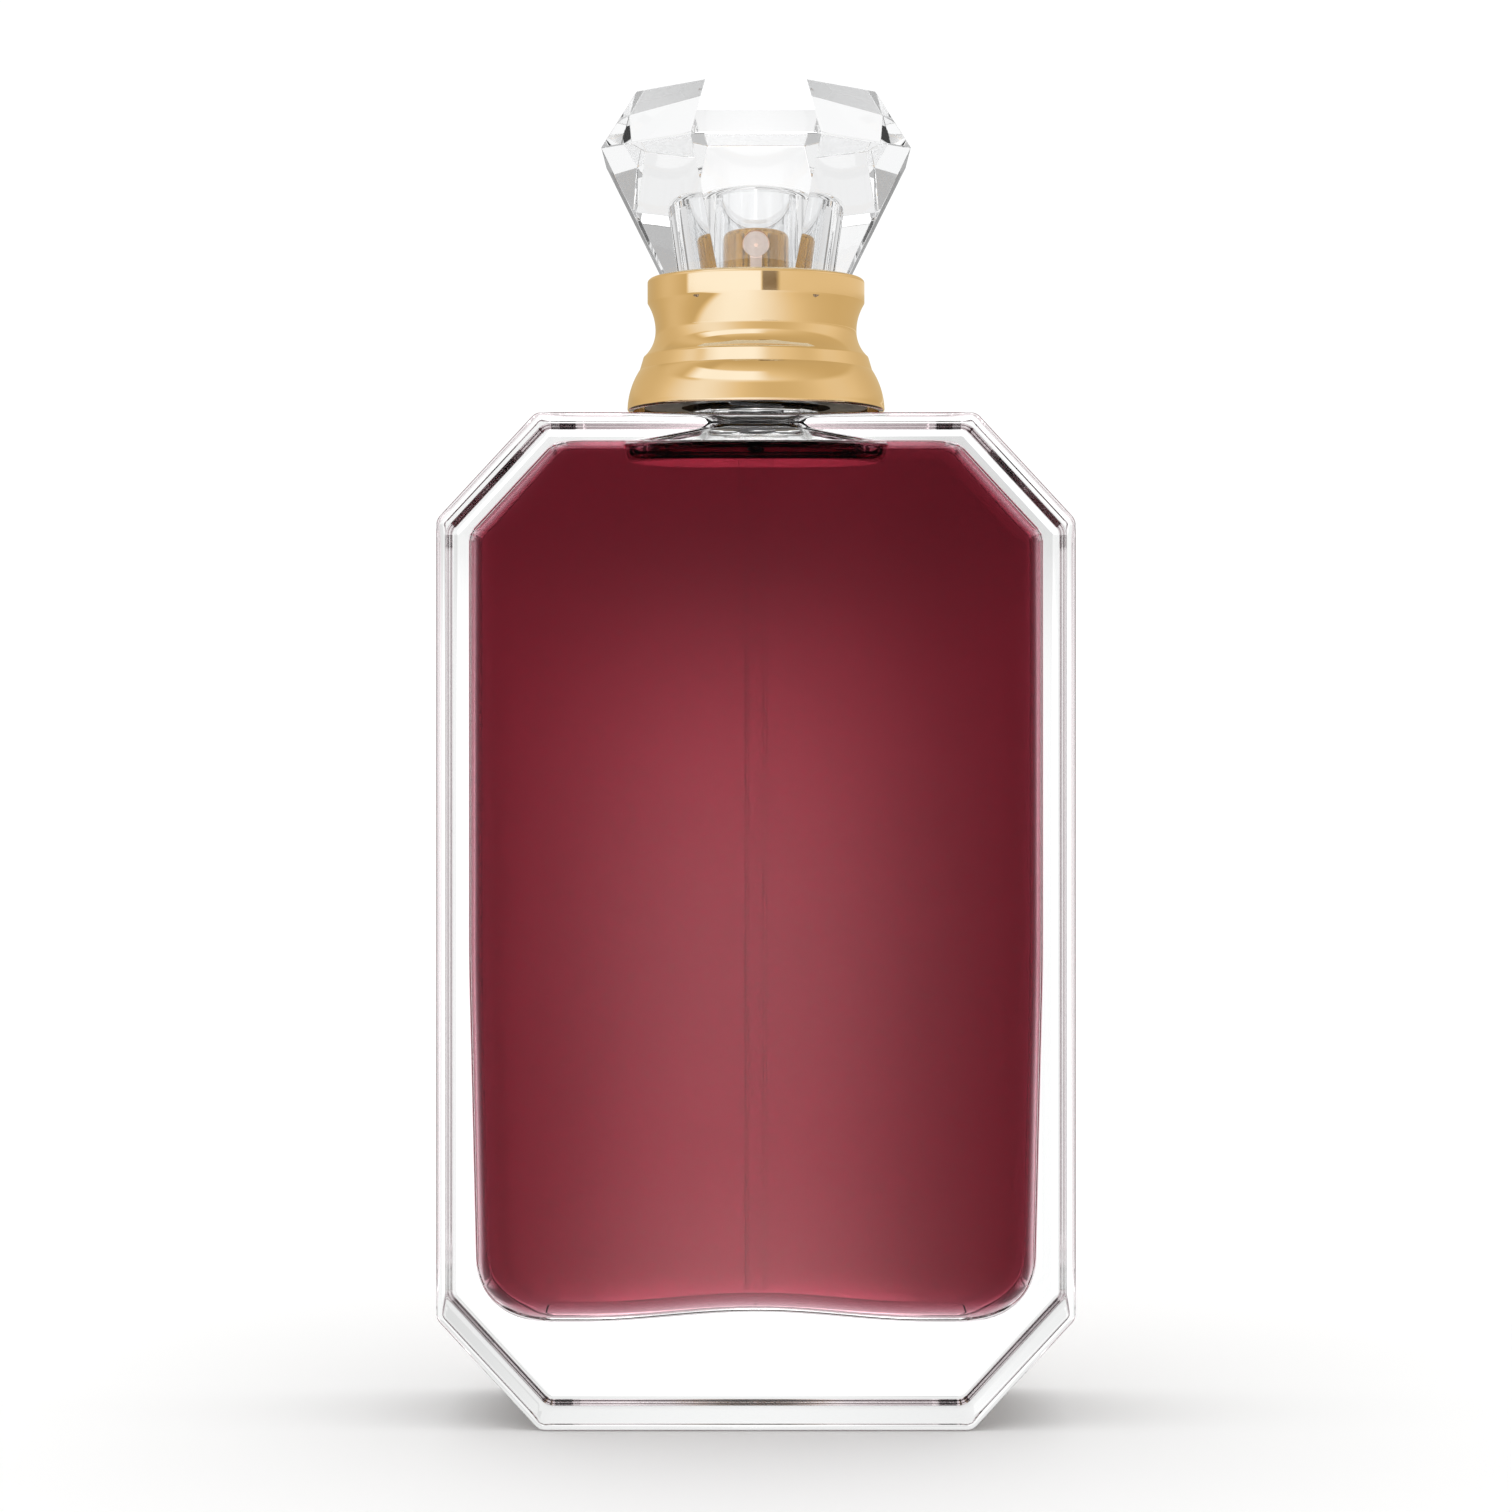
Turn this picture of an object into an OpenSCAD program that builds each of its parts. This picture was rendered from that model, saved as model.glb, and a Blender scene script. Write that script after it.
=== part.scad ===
// Perfume bottle with a crimped spray pump and a clear gem-cut cap.
// Origin: centre of the base, on the ground. +Z up, the spray nozzle faces -Y.

/* [Node to build] */
// Which sub-part to draw

/* [Glass body] */
// Width of the body across its flat sides
body_w = 66.2; // [56:0.2:80]
// Depth of the body, front to back
body_d = 28; // [25:0.5:34]
// Height of the body from the base to the shoulder
body_h = 105.4; // [87.4:0.2:127]
// Width cut off each top corner
top_cut = 10.3; // [7:0.1:12]
// Width cut off each bottom corner
foot_cut = 10.66; // [7:0.1:12]
// Height of a corner cut for each millimetre of its width
cut_steepness = 1.08; // [1:0.01:1.2]
// Bevel of the edges round the front and back faces
edge_bevel = 1; // [0.5:0.1:1.4]

/* [Cavity] */
// Glass at the left and right sides
side_wall = 3.1; // [2.6:0.1:4]
// Glass at the front and back
face_wall = 4.1; // [3.2:0.1:5]
// Glass under the cavity
floor_glass = 10.4; // [7:0.1:14]
// Glass over the cavity where the ceiling is lowest
shoulder_glass = 2.7; // [2:0.1:4]
// Height of the hump in the middle of the cavity floor
floor_hump = 1; // [0.4:0.1:1.6]
// Half the width of that hump
hump_half_w = 17; // [12:0.5:19]
// Radius of the cavity's bottom corners, seen from the front
floor_corner_r = 11.5; // [8:0.5:14]
// Radius of the cavity's upright corners, seen from above
plan_corner_r = 2.5; // [1.5:0.5:8]
// Bevel where the cavity's floor meets its front and back
heel_bevel = 3; // [1:0.5:5]
// How far the ceiling rises towards the neck
ceiling_rise = 1.6; // [0.8:0.1:1.8]
// Air between the liquid and the lowest part of the ceiling
air_gap = 0.8; // [0.6:0.1:20]

/* [Neck] */
// Glass round the bore of the neck
neck_wall = 1.9; // [1.5:0.1:2.2]
// How far the bead stands out from the neck
bead_step = 0.8; // [0.5:0.1:1]
// Height of the neck under the bead
neck_h = 3; // [2.6:0.1:4]
// Height of the bead
bead_h = 3.6; // [3:0.1:4.4]

/* [Seal and ferrule] */
// Thickness of the neck gasket
gasket_t = 0.9; // [0.6:0.1:1.2]
// Sheet thickness of the ferrule
ferrule_t = 0.4; // [0.3:0.05:0.5]
// Thickness of the turret's flange
turret_flange_t = 1; // [0.8:0.1:1.3]
// Wall of the turret's skirt in the neck
skirt_wall = 1.02; // [0.6:0.02:1.2]

/* [Collar] */
// Diameter of the top ring
ring_d = 23.2; // [22.4:0.1:26]
// Height of the top ring
ring_h = 2.7; // [2:0.1:3.2]
// Diameter of the waist
waist_d = 21.5; // [21:0.1:22]
// Diameter of the flange at its foot
flange_d = 27.5; // [26:0.1:28]
// Diameter where the flange meets the cone
flange_top_d = 25; // [24:0.1:25.4]
// Diameter where the cone meets the waist
cone_top_d = 24; // [23:0.1:24.2]
// Gap between the shoulder and the collar
collar_gap = 1.2; // [0.8:0.1:2]
// Height of the flange
flange_h = 4.3; // [3.6:0.1:5]
// Height of the cone above the flange
cone_h = 1.5; // [1:0.1:2]
// Height of the waist
waist_h = 5.6; // [5:0.1:7]
// Wall of the gold shell
shell_t = 0.6; // [0.5:0.05:0.7]

/* [Actuator] */
// Diameter of the gold button
button_d = 10.8; // [10.6:0.1:13]
// Height of the button
button_h = 8.2; // [7.4:0.1:9]
// How far the button stands above the collar ring
button_up = 5.9; // [5:0.1:6.4]
// Wall of the button's gold jacket
jacket_t = 0.35; // [0.3:0.05:0.5]
// Radius of the button's top edge
button_edge_r = 0.8; // [0.4:0.1:0.9]
// Diameter of the nozzle insert
nozzle_d = 2.9; // [2.6:0.1:3.2]
// Depth of the nozzle insert
nozzle_len = 2.2; // [1.8:0.1:2.4]
// Spray hole
spray_hole_d = 0.3; // [0.2:0.05:0.5]

/* [Pump] */
// Bore of the barrel
barrel_bore = 5.2; // [5:0.1:6.4]
// Wall of the barrel
barrel_wall = 0.8; // [0.6:0.05:0.9]
// How far the pump's tower stands above the ferrule
tower_up = 2.6; // [2:0.1:2.8]
// Outer diameter of the stem
stem_d = 3; // [2.8:0.1:3.2]
// Liquid channel in the stem
stem_bore = 1.2; // [1:0.1:1.4]
// Stroke of the pump
stroke = 3.6; // [3:0.1:4.4]
// Height of the piston
piston_h = 2.4; // [2:0.1:3]
// Diameter of the inlet ball
ball_d = 2; // [1.8:0.1:2.2]
// Wire of the return spring
wire_d = 0.4; // [0.3:0.05:0.45]
// Mean diameter of the return spring
coil_d = 3.8; // [3.6:0.1:4]
// Turns of the return spring
coil_turns = 5; // [4:1:5]
// Space left between the coils of the return spring at full stroke
spring_spare = 0.2; // [0.1:0.1:1]
// Outer diameter of the dip tube
tube_d = 2.4; // [2.2:0.1:2.6]
// Wall of the dip tube
tube_wall = 0.4; // [0.3:0.05:0.5]
// Gap between the tube's end and the cavity floor
tube_end_gap = 1.5; // [1:0.5:5]

/* [Cap] */
// Distance across the cap's girdle, flat to flat
girdle_w = 32.6; // [30:0.2:36]
// Distance across the table, flat to flat
table_w = 25.2; // [23:0.2:27]
// Distance across the cap's foot, flat to flat
foot_w = 19.8; // [18.6:0.2:21]
// Height from the cap's foot to the girdle
pavilion_h = 13; // [11:0.1:15]
// Height from the girdle to the table
crown_h = 6.2; // [5:0.1:8]
// Gap between the collar ring and the cap's foot
cap_gap = 0.1; // [0.05:0.05:0.3]
// Air round the button inside the cap
button_room = 0.42; // [0.3:0.02:0.8]
// Wall of the clear sleeve in the bore
sleeve_t = 0.75; // [0.6:0.05:0.8]
// Air between the button's top and the sleeve's ceiling
cap_headroom = 4.3; // [3:0.1:5]
// How far the sleeve's skirt plugs into the collar ring
plug_depth = 3; // [2.4:0.1:3.2]

/* [Clearances] */
// Radial clearance of a sliding fit
slide_gap = 0.05; // [0.02:0.01:0.09]
// Radial clearance of pieces that are assembled and then stay put
seat_gap = 0.03; // [0.01:0.01:0.05]
// Room between pieces that never touch
free_gap = 0.35; // [0.3:0.05:0.5]

/* [Hidden] */

$fn = 96;

// Small overlap that keeps a cut from ending on a face
cut = 1;

// Barrel, turret skirt, neck and bead, each round the one before
barrel_d = barrel_bore + 2 * barrel_wall;
neck_bore = barrel_d + 2 * (seat_gap + skirt_wall + free_gap);
neck_d = neck_bore + 2 * neck_wall;
bead_d = neck_d + 2 * bead_step;

// Heights of the glass
ceiling_z = body_h - shoulder_glass;
liquid_z = ceiling_z - air_gap;
bead_z = body_h + neck_h;
mouth_z = bead_z + bead_h;
neck_root_r = collar_gap - 0.1;
cavity_half_w = body_w / 2 - side_wall;
cavity_half_d = body_d / 2 - face_wall;
mouth_flare = 0.8;

// Heights of the seal stack
turret_z = mouth_z + gasket_t;
turret_flange_z = turret_z + turret_flange_t;
ferrule_top_z = turret_flange_z + ferrule_t;
ferrule_in_r = bead_d / 2 + seat_gap;
ferrule_out_r = ferrule_in_r + ferrule_t;
crimp_h = 0.8;

// Heights and radii of the collar
collar_z = body_h + collar_gap;
cone_z = collar_z + flange_h;
waist_z = cone_z + cone_h;
ring_z = waist_z + waist_h;
ring_top_z = ring_z + ring_h;
ring_edge_r = 0.4;
waist_share = 0.5;
waist_mid_z = waist_z + waist_share * waist_h;
ring_step = 0.1;

// Pump, from the tower's top down
spring_len = (coil_turns + 1) * wire_d + stroke + spring_spare;
seal_t = 1;
tower_top_t = 1;
tower_wall = 0.45;
tower_r = barrel_d / 2 + seat_gap + tower_wall;
tower_z = ferrule_top_z + tower_up;
barrel_top_z = tower_z - tower_top_t - seal_t;
piston_top_z = barrel_top_z - slide_gap;
piston_z = piston_top_z - piston_h;
piston_relief = 0.35;
lip_h = 0.7;
stem_foot_h = 0.6;
stem_foot_r = stem_d / 2 + 0.6;
stem_z = piston_z - stem_foot_h;
seat_disc_h = 0.8;
seat_disc_r = (coil_d + wire_d) / 2 + 0.2;
seat_disc_z = stem_z - seat_disc_h;
seat_pin_r = (coil_d - wire_d) / 2 - free_gap;
seat_pin_h = 1;
spring_z = seat_disc_z - spring_len;
chamber_lip_t = 0.5;
chamber_top_z = spring_z - chamber_lip_t;
ball_room = 0.2;
chamber_r = ball_d / 2 + ball_room;
ball_lift = 0.8;
ball_z = chamber_top_z - slide_gap - ball_lift - ball_d / 2;
inlet_r = 0.5;
seat_apex_z = ball_z - (ball_d / 2 + slide_gap) * sqrt(2);
seat_z = seat_apex_z + inlet_r;
inlet_h = 1;
tube_top_z = seat_z - inlet_h;
tube_socket_h = 3.5;
tail_z = tube_top_z - tube_socket_h;
tail_wall = 0.65;
tail_r = max(tube_d / 2 + seat_gap, chamber_r) + tail_wall;
barrel_floor_t = 0.8;
barrel_z = spring_z - barrel_floor_t;
tube_foot_z = floor_glass + floor_hump + tube_end_gap;
snap_up = 0.2;
snap_h = 0.6;
snap_z = turret_z - 3 * snap_h;
skirt_r = neck_bore / 2 - free_gap;
skirt_h = 3;

// Actuator
button_top_z = ring_top_z + button_up;
button_z = button_top_z - button_h;
button_r = button_d / 2;
core_r = button_r - jacket_t - seat_gap;
core_top_z = button_top_z - jacket_t;
nozzle_drop = 1.95;
nozzle_z = button_top_z - nozzle_drop;
nozzle_recess = 0.25;
nozzle_face_y = -button_r + nozzle_recess;
keyway_w = 1.3;
hollow_r = tower_r + free_gap;
hollow_z = tower_z + stroke + free_gap;
stem_grip = 2.4;
stem_top_z = hollow_z + stem_grip;
channel_r = stem_bore / 2;
swirl_r = 0.9;
nozzle_face_t = 0.6;

// Cap
cap_z = ring_top_z + cap_gap;
girdle_z = cap_z + pavilion_h;
table_z = girdle_z + crown_h;
bore_top_z = button_top_z + cap_headroom;
sleeve_in_r = button_d / 2 + button_room;
sleeve_out_r = sleeve_in_r + sleeve_t;
cap_bore = 2 * (sleeve_out_r + seat_gap);
opening_r = sleeve_out_r + slide_gap;
sleeve_z = ring_top_z - plug_depth;
lip_foot_z = sleeve_z - 1;
liner_rest_w = 0.68;
reach = 100;

function arc_radius(sag, run) = (sag * sag + run * run) / (2 * sag);

module ring_body(outer_r, inner_r, z, h) {
  translate([0, 0, z]) difference() {
    cylinder(r = outer_r, h = h);
    translate([0, 0, -cut]) cylinder(r = inner_r, h = h + 2 * cut);
  }
}

// ---- Glass ----

// Line of a corner cut: steepness * x + z equals this at the top corners
function cut_line(inset) =
  cut_steepness * (body_w / 2 - top_cut) + body_h - inset * norm([cut_steepness, 1]);

module body_front() {
  top_x = body_w / 2 - top_cut;
  foot_x = body_w / 2 - foot_cut;
  top_drop = top_cut * cut_steepness;
  foot_rise = foot_cut * cut_steepness;
  polygon([
    [-foot_x, 0], [foot_x, 0], [body_w / 2, foot_rise], [body_w / 2, body_h - top_drop],
    [top_x, body_h], [-top_x, body_h], [-body_w / 2, body_h - top_drop], [-body_w / 2, foot_rise]
  ]);
}

// Half-space behind one straight edge of the front outline, its two long edges bevelled
module edge_slab(from, to) {
  along = to - from;
  translate([from[0], 0, from[1]])
    rotate([0, -atan2(along[1], along[0]), 0])
      rotate([0, 90, 0])
        translate([-2 * body_h, 0, -body_h]) linear_extrude(norm(along) + 2 * body_h) edge_profile();
}

module edge_profile() {
  deep = 2 * body_h;
  half_d = body_d / 2;
  polygon([
    [0, -half_d], [deep - edge_bevel, -half_d], [deep, -half_d + edge_bevel],
    [deep, half_d - edge_bevel], [deep - edge_bevel, half_d], [0, half_d]
  ]);
}

module body_block() {
  top_x = body_w / 2 - top_cut;
  foot_x = body_w / 2 - foot_cut;
  top_z = body_h - top_cut * cut_steepness;
  foot_z = foot_cut * cut_steepness;
  corners = [
    [-foot_x, 0], [foot_x, 0], [body_w / 2, foot_z], [body_w / 2, top_z],
    [top_x, body_h], [-top_x, body_h], [-body_w / 2, top_z], [-body_w / 2, foot_z]
  ];
  intersection() {
    translate([0, body_d / 2, 0]) rotate([90, 0, 0]) linear_extrude(body_d) body_front();
    intersection_for(i = [0:7]) edge_slab(corners[i], corners[(i + 1) % 8]);
  }
}

// Front outline of the cavity, drawn in from the glass by a film
module cavity_front(film) {
  half_w = cavity_half_w - film;
  line = cut_line(side_wall + film);
  low_z = ceiling_z - film;
  high_z = low_z + ceiling_rise;
  knee_x = (line - low_z) / cut_steepness;
  hump_r = arc_radius(floor_hump, hump_half_w);
  difference() {
    intersection() {
      union() {
        translate([-half_w, floor_glass + floor_corner_r]) square([2 * half_w, body_h]);
        translate([-half_w + floor_corner_r, floor_glass + film])
          square([2 * (half_w - floor_corner_r), body_h]);
        for (side = [-1, 1])
          translate([side * (cavity_half_w - floor_corner_r), floor_glass + floor_corner_r])
            circle(floor_corner_r - film);
      }
      polygon([
        [-half_w, 0], [half_w, 0], [half_w, line - cut_steepness * half_w], [knee_x, low_z],
        [neck_bore / 2, high_z], [-neck_bore / 2, high_z], [-knee_x, low_z],
        [-half_w, line - cut_steepness * half_w]
      ]);
    }
    translate([0, floor_glass + floor_hump - hump_r]) circle(hump_r + film);
  }
}

// Outline of the cavity seen from above
module cavity_plan(film) {
  r = plan_corner_r;
  translate([-cavity_half_w + r, -cavity_half_d + film])
    square([2 * (cavity_half_w - r), 2 * (cavity_half_d - film)]);
  translate([-cavity_half_w + film, -cavity_half_d + r])
    square([2 * (cavity_half_w - film), 2 * (cavity_half_d - r)]);
  for (sx = [-1, 1], sy = [-1, 1])
    translate([sx * (cavity_half_w - r), sy * (cavity_half_d - r)]) circle(r - film);
}

// Outline of the cavity seen from the side
module cavity_side(film) {
  half_d = cavity_half_d - film;
  low_z = floor_glass + film;
  bevel = heel_bevel;
  polygon([
    [-half_d, body_h], [-half_d, low_z + bevel], [-half_d + bevel, low_z],
    [half_d - bevel, low_z], [half_d, low_z + bevel], [half_d, body_h]
  ]);
}

module cavity(film) {
  intersection() {
    translate([0, body_d, 0]) rotate([90, 0, 0]) linear_extrude(2 * body_d) cavity_front(film);
    linear_extrude(body_h) cavity_plan(film);
    translate([-body_w, 0, 0]) rotate([90, 0, 90]) linear_extrude(2 * body_w) cavity_side(film);
  }
}

module neck_solid() {
  neck_r = neck_d / 2;
  bead_r = bead_d / 2;
  bevel = 0.5;
  rotate_extrude() {
    translate([0, body_h - cut]) square([neck_r, neck_h + cut + bevel]);
    difference() {
      translate([0, body_h - cut]) square([neck_r + neck_root_r, neck_root_r + cut]);
      translate([neck_r + neck_root_r, body_h + neck_root_r]) circle(neck_root_r);
    }
    polygon([
      [0, bead_z], [bead_r - bevel, bead_z], [bead_r, bead_z + bevel],
      [bead_r, mouth_z - bevel], [bead_r - bevel, mouth_z], [0, mouth_z]
    ]);
  }
}

module neck_hole() {
  rotate_extrude() {
    translate([0, ceiling_z]) square([neck_bore / 2, mouth_z - ceiling_z + cut]);
    polygon([
      [0, ceiling_z], [neck_bore / 2 + mouth_flare, ceiling_z],
      [neck_bore / 2, ceiling_z + ceiling_rise + mouth_flare], [0, ceiling_z + ceiling_rise + mouth_flare]
    ]);
  }
}

module glass_bottle() {
  color([0.93, 0.96, 0.96, 0.3]) difference() {
    union() {
      body_block();
      neck_solid();
    }
    cavity(0);
    neck_hole();
  }
}

module perfume() {
  color([0.42, 0.08, 0.13, 0.85]) difference() {
    intersection() {
      cavity(seat_gap);
      translate([-body_w / 2, -body_d / 2, 0]) cube([body_w, body_d, liquid_z]);
    }
    translate([0, 0, tail_z - seat_gap]) cylinder(r = tail_r + seat_gap, h = body_h);
    cylinder(r = tube_d / 2 + seat_gap, h = body_h);
  }
}

// ---- Seal and ferrule ----

module neck_gasket() {
  color([0.9, 0.88, 0.82]) ring_body(bead_d / 2 - 0.1, skirt_r + seat_gap, mouth_z, gasket_t);
}

module crimp_ferrule() {
  neck_room_r = neck_d / 2 + free_gap;
  color([0.8, 0.81, 0.83]) {
    ring_body(ferrule_out_r, ferrule_in_r, bead_z, ferrule_top_z - bead_z);
    ring_body(ferrule_in_r + cut / 10, tower_r + seat_gap, turret_flange_z, ferrule_t);
    ring_body(ferrule_out_r, neck_room_r, bead_z - crimp_h, crimp_h);
  }
}

// ---- Collar ----

// Turned outline of the collar, drawn in from the gold face by a wall
module collar_outline(wall) {
  flange_r = flange_d / 2;
  flange_sag = (flange_d - flange_top_d) / 2;
  flange_arc = arc_radius(flange_sag, flange_h);
  waist_r = waist_d / 2;
  low_arc = arc_radius(cone_top_d / 2 - waist_r, waist_mid_z - waist_z);
  high_arc = arc_radius(ring_d / 2 - ring_step - waist_r, ring_z - waist_mid_z);
  intersection() {
    translate([0, collar_z]) square([flange_r - wall, flange_h]);
    translate([flange_r - flange_arc, collar_z]) circle(flange_arc - wall);
  }
  polygon([
    [0, cone_z - cut], [flange_top_d / 2 - wall, cone_z - cut], [flange_top_d / 2 - wall, cone_z],
    [cone_top_d / 2 - wall, waist_z], [0, waist_z]
  ]);
  difference() {
    translate([0, waist_z - wall]) square([cone_top_d / 2 - wall, waist_mid_z - waist_z + wall]);
    translate([waist_r + low_arc, waist_mid_z]) circle(low_arc + wall);
  }
  difference() {
    translate([0, waist_mid_z - cut]) square([ring_d / 2 - ring_step - wall, ring_z - waist_mid_z + cut]);
    translate([waist_r + high_arc, waist_mid_z]) circle(high_arc + wall);
    translate([waist_r - wall, waist_mid_z - 2 * cut]) square([high_arc, 2 * cut]);
  }
  rounded_ring(wall);
}

module rounded_ring(wall) {
  r = max(ring_edge_r - wall, 0.05);
  out_r = ring_d / 2 - wall;
  low_z = ring_z + wall;
  high_z = ring_top_z - wall;
  translate([0, low_z - wall]) square([out_r - r, high_z - low_z + wall]);
  translate([0, low_z + r]) square([out_r, high_z - low_z - 2 * r]);
  for (z = [low_z + r, high_z - r]) translate([out_r - r, z]) circle(r);
}

module collar_shell() {
  color([0.87, 0.72, 0.46]) rotate_extrude() difference() {
    union() {
      difference() {
        collar_outline(0);
        collar_outline(shell_t);
        square([flange_d / 2 - shell_t, collar_z + cut / 2]);
      }
      translate([0, lip_foot_z]) square([opening_r + shell_t, ring_top_z - lip_foot_z]);
    }
    square([opening_r, ring_top_z + cut]);
  }
}

module collar_liner() {
  out_r = waist_d / 2 - shell_t - seat_gap;
  foot_r = flange_top_d / 2 - shell_t - seat_gap;
  foot_z = collar_z + 0.4;
  foot_h = 1.2;
  step_z = ferrule_top_z;
  top_z = ring_z - seat_gap;
  color([0.86, 0.84, 0.8]) difference() {
    union() {
      translate([0, 0, foot_z]) cylinder(r = out_r, h = top_z - foot_z);
      translate([0, 0, foot_z]) cylinder(r = foot_r, h = foot_h);
    }
    translate([0, 0, foot_z - cut]) cylinder(r = ferrule_out_r + seat_gap, h = step_z - foot_z + cut);
    cylinder(r = ferrule_out_r - liner_rest_w, h = table_z);
    translate([0, 0, lip_foot_z - seat_gap]) cylinder(r = opening_r + shell_t + seat_gap, h = table_z);
  }
}

// ---- Pump ----

module pump_housing() {
  cone_h = chamber_r - inlet_r;
  color([0.95, 0.95, 0.93, 0.5]) difference() {
    union() {
      translate([0, 0, barrel_z]) cylinder(d = barrel_d, h = barrel_top_z - barrel_z);
      translate([0, 0, tail_z]) cylinder(r = tail_r, h = barrel_z - tail_z + cut / 4);
      translate([0, 0, snap_z]) cylinder(r = barrel_d / 2 + snap_up, h = snap_h);
    }
    translate([0, 0, spring_z]) cylinder(d = barrel_bore, h = table_z);
    translate([0, 0, tail_z - cut]) cylinder(r = tube_d / 2 + seat_gap, h = tube_socket_h + cut);
    cylinder(r = inlet_r, h = seat_z + cut / 10);
    translate([0, 0, seat_z]) cylinder(r1 = inlet_r, r2 = chamber_r, h = cone_h);
    translate([0, 0, seat_z + cone_h]) cylinder(r = chamber_r, h = chamber_top_z - seat_z - cone_h);
    translate([0, 0, seat_z]) cylinder(r = inlet_r + ball_room, h = table_z);
  }
}

module pump_turret() {
  groove_r = barrel_d / 2 + snap_up + seat_gap;
  inner_r = barrel_d / 2 + seat_gap;
  color([0.9, 0.9, 0.88]) difference() {
    union() {
      translate([0, 0, turret_z]) cylinder(r = ferrule_in_r - seat_gap, h = turret_flange_t);
      translate([0, 0, turret_z - skirt_h]) cylinder(r = skirt_r, h = skirt_h);
      translate([0, 0, turret_z]) cylinder(r = tower_r, h = tower_z - turret_z);
    }
    translate([0, 0, turret_z - skirt_h - cut])
      cylinder(r = inner_r, h = tower_z - tower_top_t - turret_z + skirt_h + cut);
    translate([0, 0, snap_z - seat_gap]) cylinder(r = groove_r, h = snap_h + 2 * seat_gap);
    cylinder(r = stem_d / 2 + slide_gap, h = table_z);
  }
}

module stem_seal() {
  color([0.75, 0.2, 0.15]) ring_body(barrel_d / 2, stem_d / 2 + slide_gap, barrel_top_z, seal_t);
}

module dip_tube() {
  color([0.95, 0.95, 0.93, 0.5])
    ring_body(tube_d / 2, tube_d / 2 - tube_wall, tube_foot_z, tube_top_z - tube_foot_z);
}

// Wire centre of the spring at one step round the coil: dead end coils, open turns between them
function coil_point(i, steps, low_z, rise) =
  let (turn = 360 * coil_turns * i / steps, share = min(max((i / steps * (coil_turns + 2) - 1) / coil_turns, 0), 1))
    [coil_d / 2 * cos(turn), coil_d / 2 * sin(turn), low_z + rise * share];

// Points of one ring of wire, in the upright plane through the coil's axis
function wire_ring(centre, turn, sides) = [
  for (k = [0:sides - 1])
    let (out = wire_d / 2 * cos(360 * k / sides), up = wire_d / 2 * sin(360 * k / sides))
      centre + [out * cos(turn), out * sin(turn), up]
];

module return_spring() {
  sides = 10;
  steps = coil_turns * 24;
  low_z = spring_z + wire_d / 2 + slide_gap;
  rise = spring_len - wire_d - 2 * slide_gap;
  points = [
    for (i = [0:steps])
      each wire_ring(coil_point(i, steps, low_z, rise), 360 * coil_turns * i / steps, sides)
  ];
  walls = [
    for (i = [0:steps - 1], k = [0:sides - 1])
      let (next = (k + 1) % sides, a = i * sides, b = a + sides)
        each [[a + k, b + next, b + k], [a + k, a + next, b + next]]
  ];
  first_end = [for (k = [0:sides - 1]) k];
  last_end = [for (k = [sides - 1:-1:0]) steps * sides + k];
  color([0.7, 0.72, 0.74]) polyhedron(points = points, faces = concat(walls, [first_end, last_end]));
}

module inlet_ball() {
  color([0.75, 0.76, 0.78]) translate([0, 0, ball_z]) sphere(d = ball_d);
}

module valve_stem() {
  hole_z = stem_z + stem_foot_h / 2;
  color([0.93, 0.93, 0.9]) difference() {
    union() {
      translate([0, 0, stem_z]) cylinder(d = stem_d, h = stem_top_z - stem_z);
      translate([0, 0, stem_z]) cylinder(r = stem_foot_r, h = stem_foot_h);
    }
    translate([0, 0, hole_z]) cylinder(d = stem_bore, h = table_z);
    translate([-stem_d, 0, hole_z]) rotate([0, 90, 0]) cylinder(d = stem_foot_h / 2, h = 2 * stem_d);
  }
}

module piston() {
  piston_r = barrel_bore / 2 - slide_gap;
  color([0.85, 0.86, 0.9]) difference() {
    union() {
      translate([0, 0, piston_z]) cylinder(r = piston_r - piston_relief, h = piston_h);
      for (z = [piston_z, piston_top_z - lip_h]) translate([0, 0, z]) cylinder(r = piston_r, h = lip_h);
    }
    translate([0, 0, piston_z - cut]) cylinder(r = stem_d / 2 + seat_gap, h = piston_h + 2 * cut);
  }
}

module spring_seat() {
  color([0.9, 0.9, 0.86]) {
    translate([0, 0, seat_disc_z]) cylinder(r = seat_disc_r, h = seat_disc_h);
    translate([0, 0, seat_disc_z - seat_pin_h]) cylinder(r = seat_pin_r, h = seat_pin_h + cut / 2);
  }
}

// ---- Actuator ----

module actuator_core() {
  nozzle_back_y = nozzle_face_y + nozzle_len;
  color([0.93, 0.9, 0.84]) difference() {
    translate([0, 0, button_z]) rotate_extrude() rounded_button(core_r, core_top_z - button_z);
    translate([0, 0, button_z - cut]) cylinder(r = hollow_r, h = hollow_z - button_z + cut);
    cylinder(r = stem_d / 2 + seat_gap, h = stem_top_z);
    cylinder(r = channel_r, h = nozzle_z);
    translate([0, 0, nozzle_z]) rotate([90, 0, 0]) cylinder(r = channel_r, h = button_r);
    translate([0, nozzle_back_y, nozzle_z]) rotate([90, 0, 0]) cylinder(d = nozzle_d + 2 * seat_gap, h = button_r);
  }
}

module rounded_button(r, h) {
  edge = button_edge_r;
  square([r, h - edge]);
  square([r - edge, h]);
  translate([r - edge, h - edge]) circle(edge);
}

module actuator_shell() {
  color([0.85, 0.68, 0.4]) difference() {
    translate([0, 0, button_z]) rotate_extrude() rounded_button(button_r, button_h);
    translate([0, 0, button_z - cut]) rotate_extrude()
      rounded_button(core_r + seat_gap, core_top_z - button_z + cut);
    translate([0, 0, nozzle_z]) rotate([90, 0, 0]) cylinder(d = nozzle_d + 2 * seat_gap, h = button_r + cut);
    translate([-keyway_w / 2, -button_r - cut, button_z - cut])
      cube([keyway_w, button_r + cut, nozzle_z - button_z + cut]);
  }
}

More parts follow.
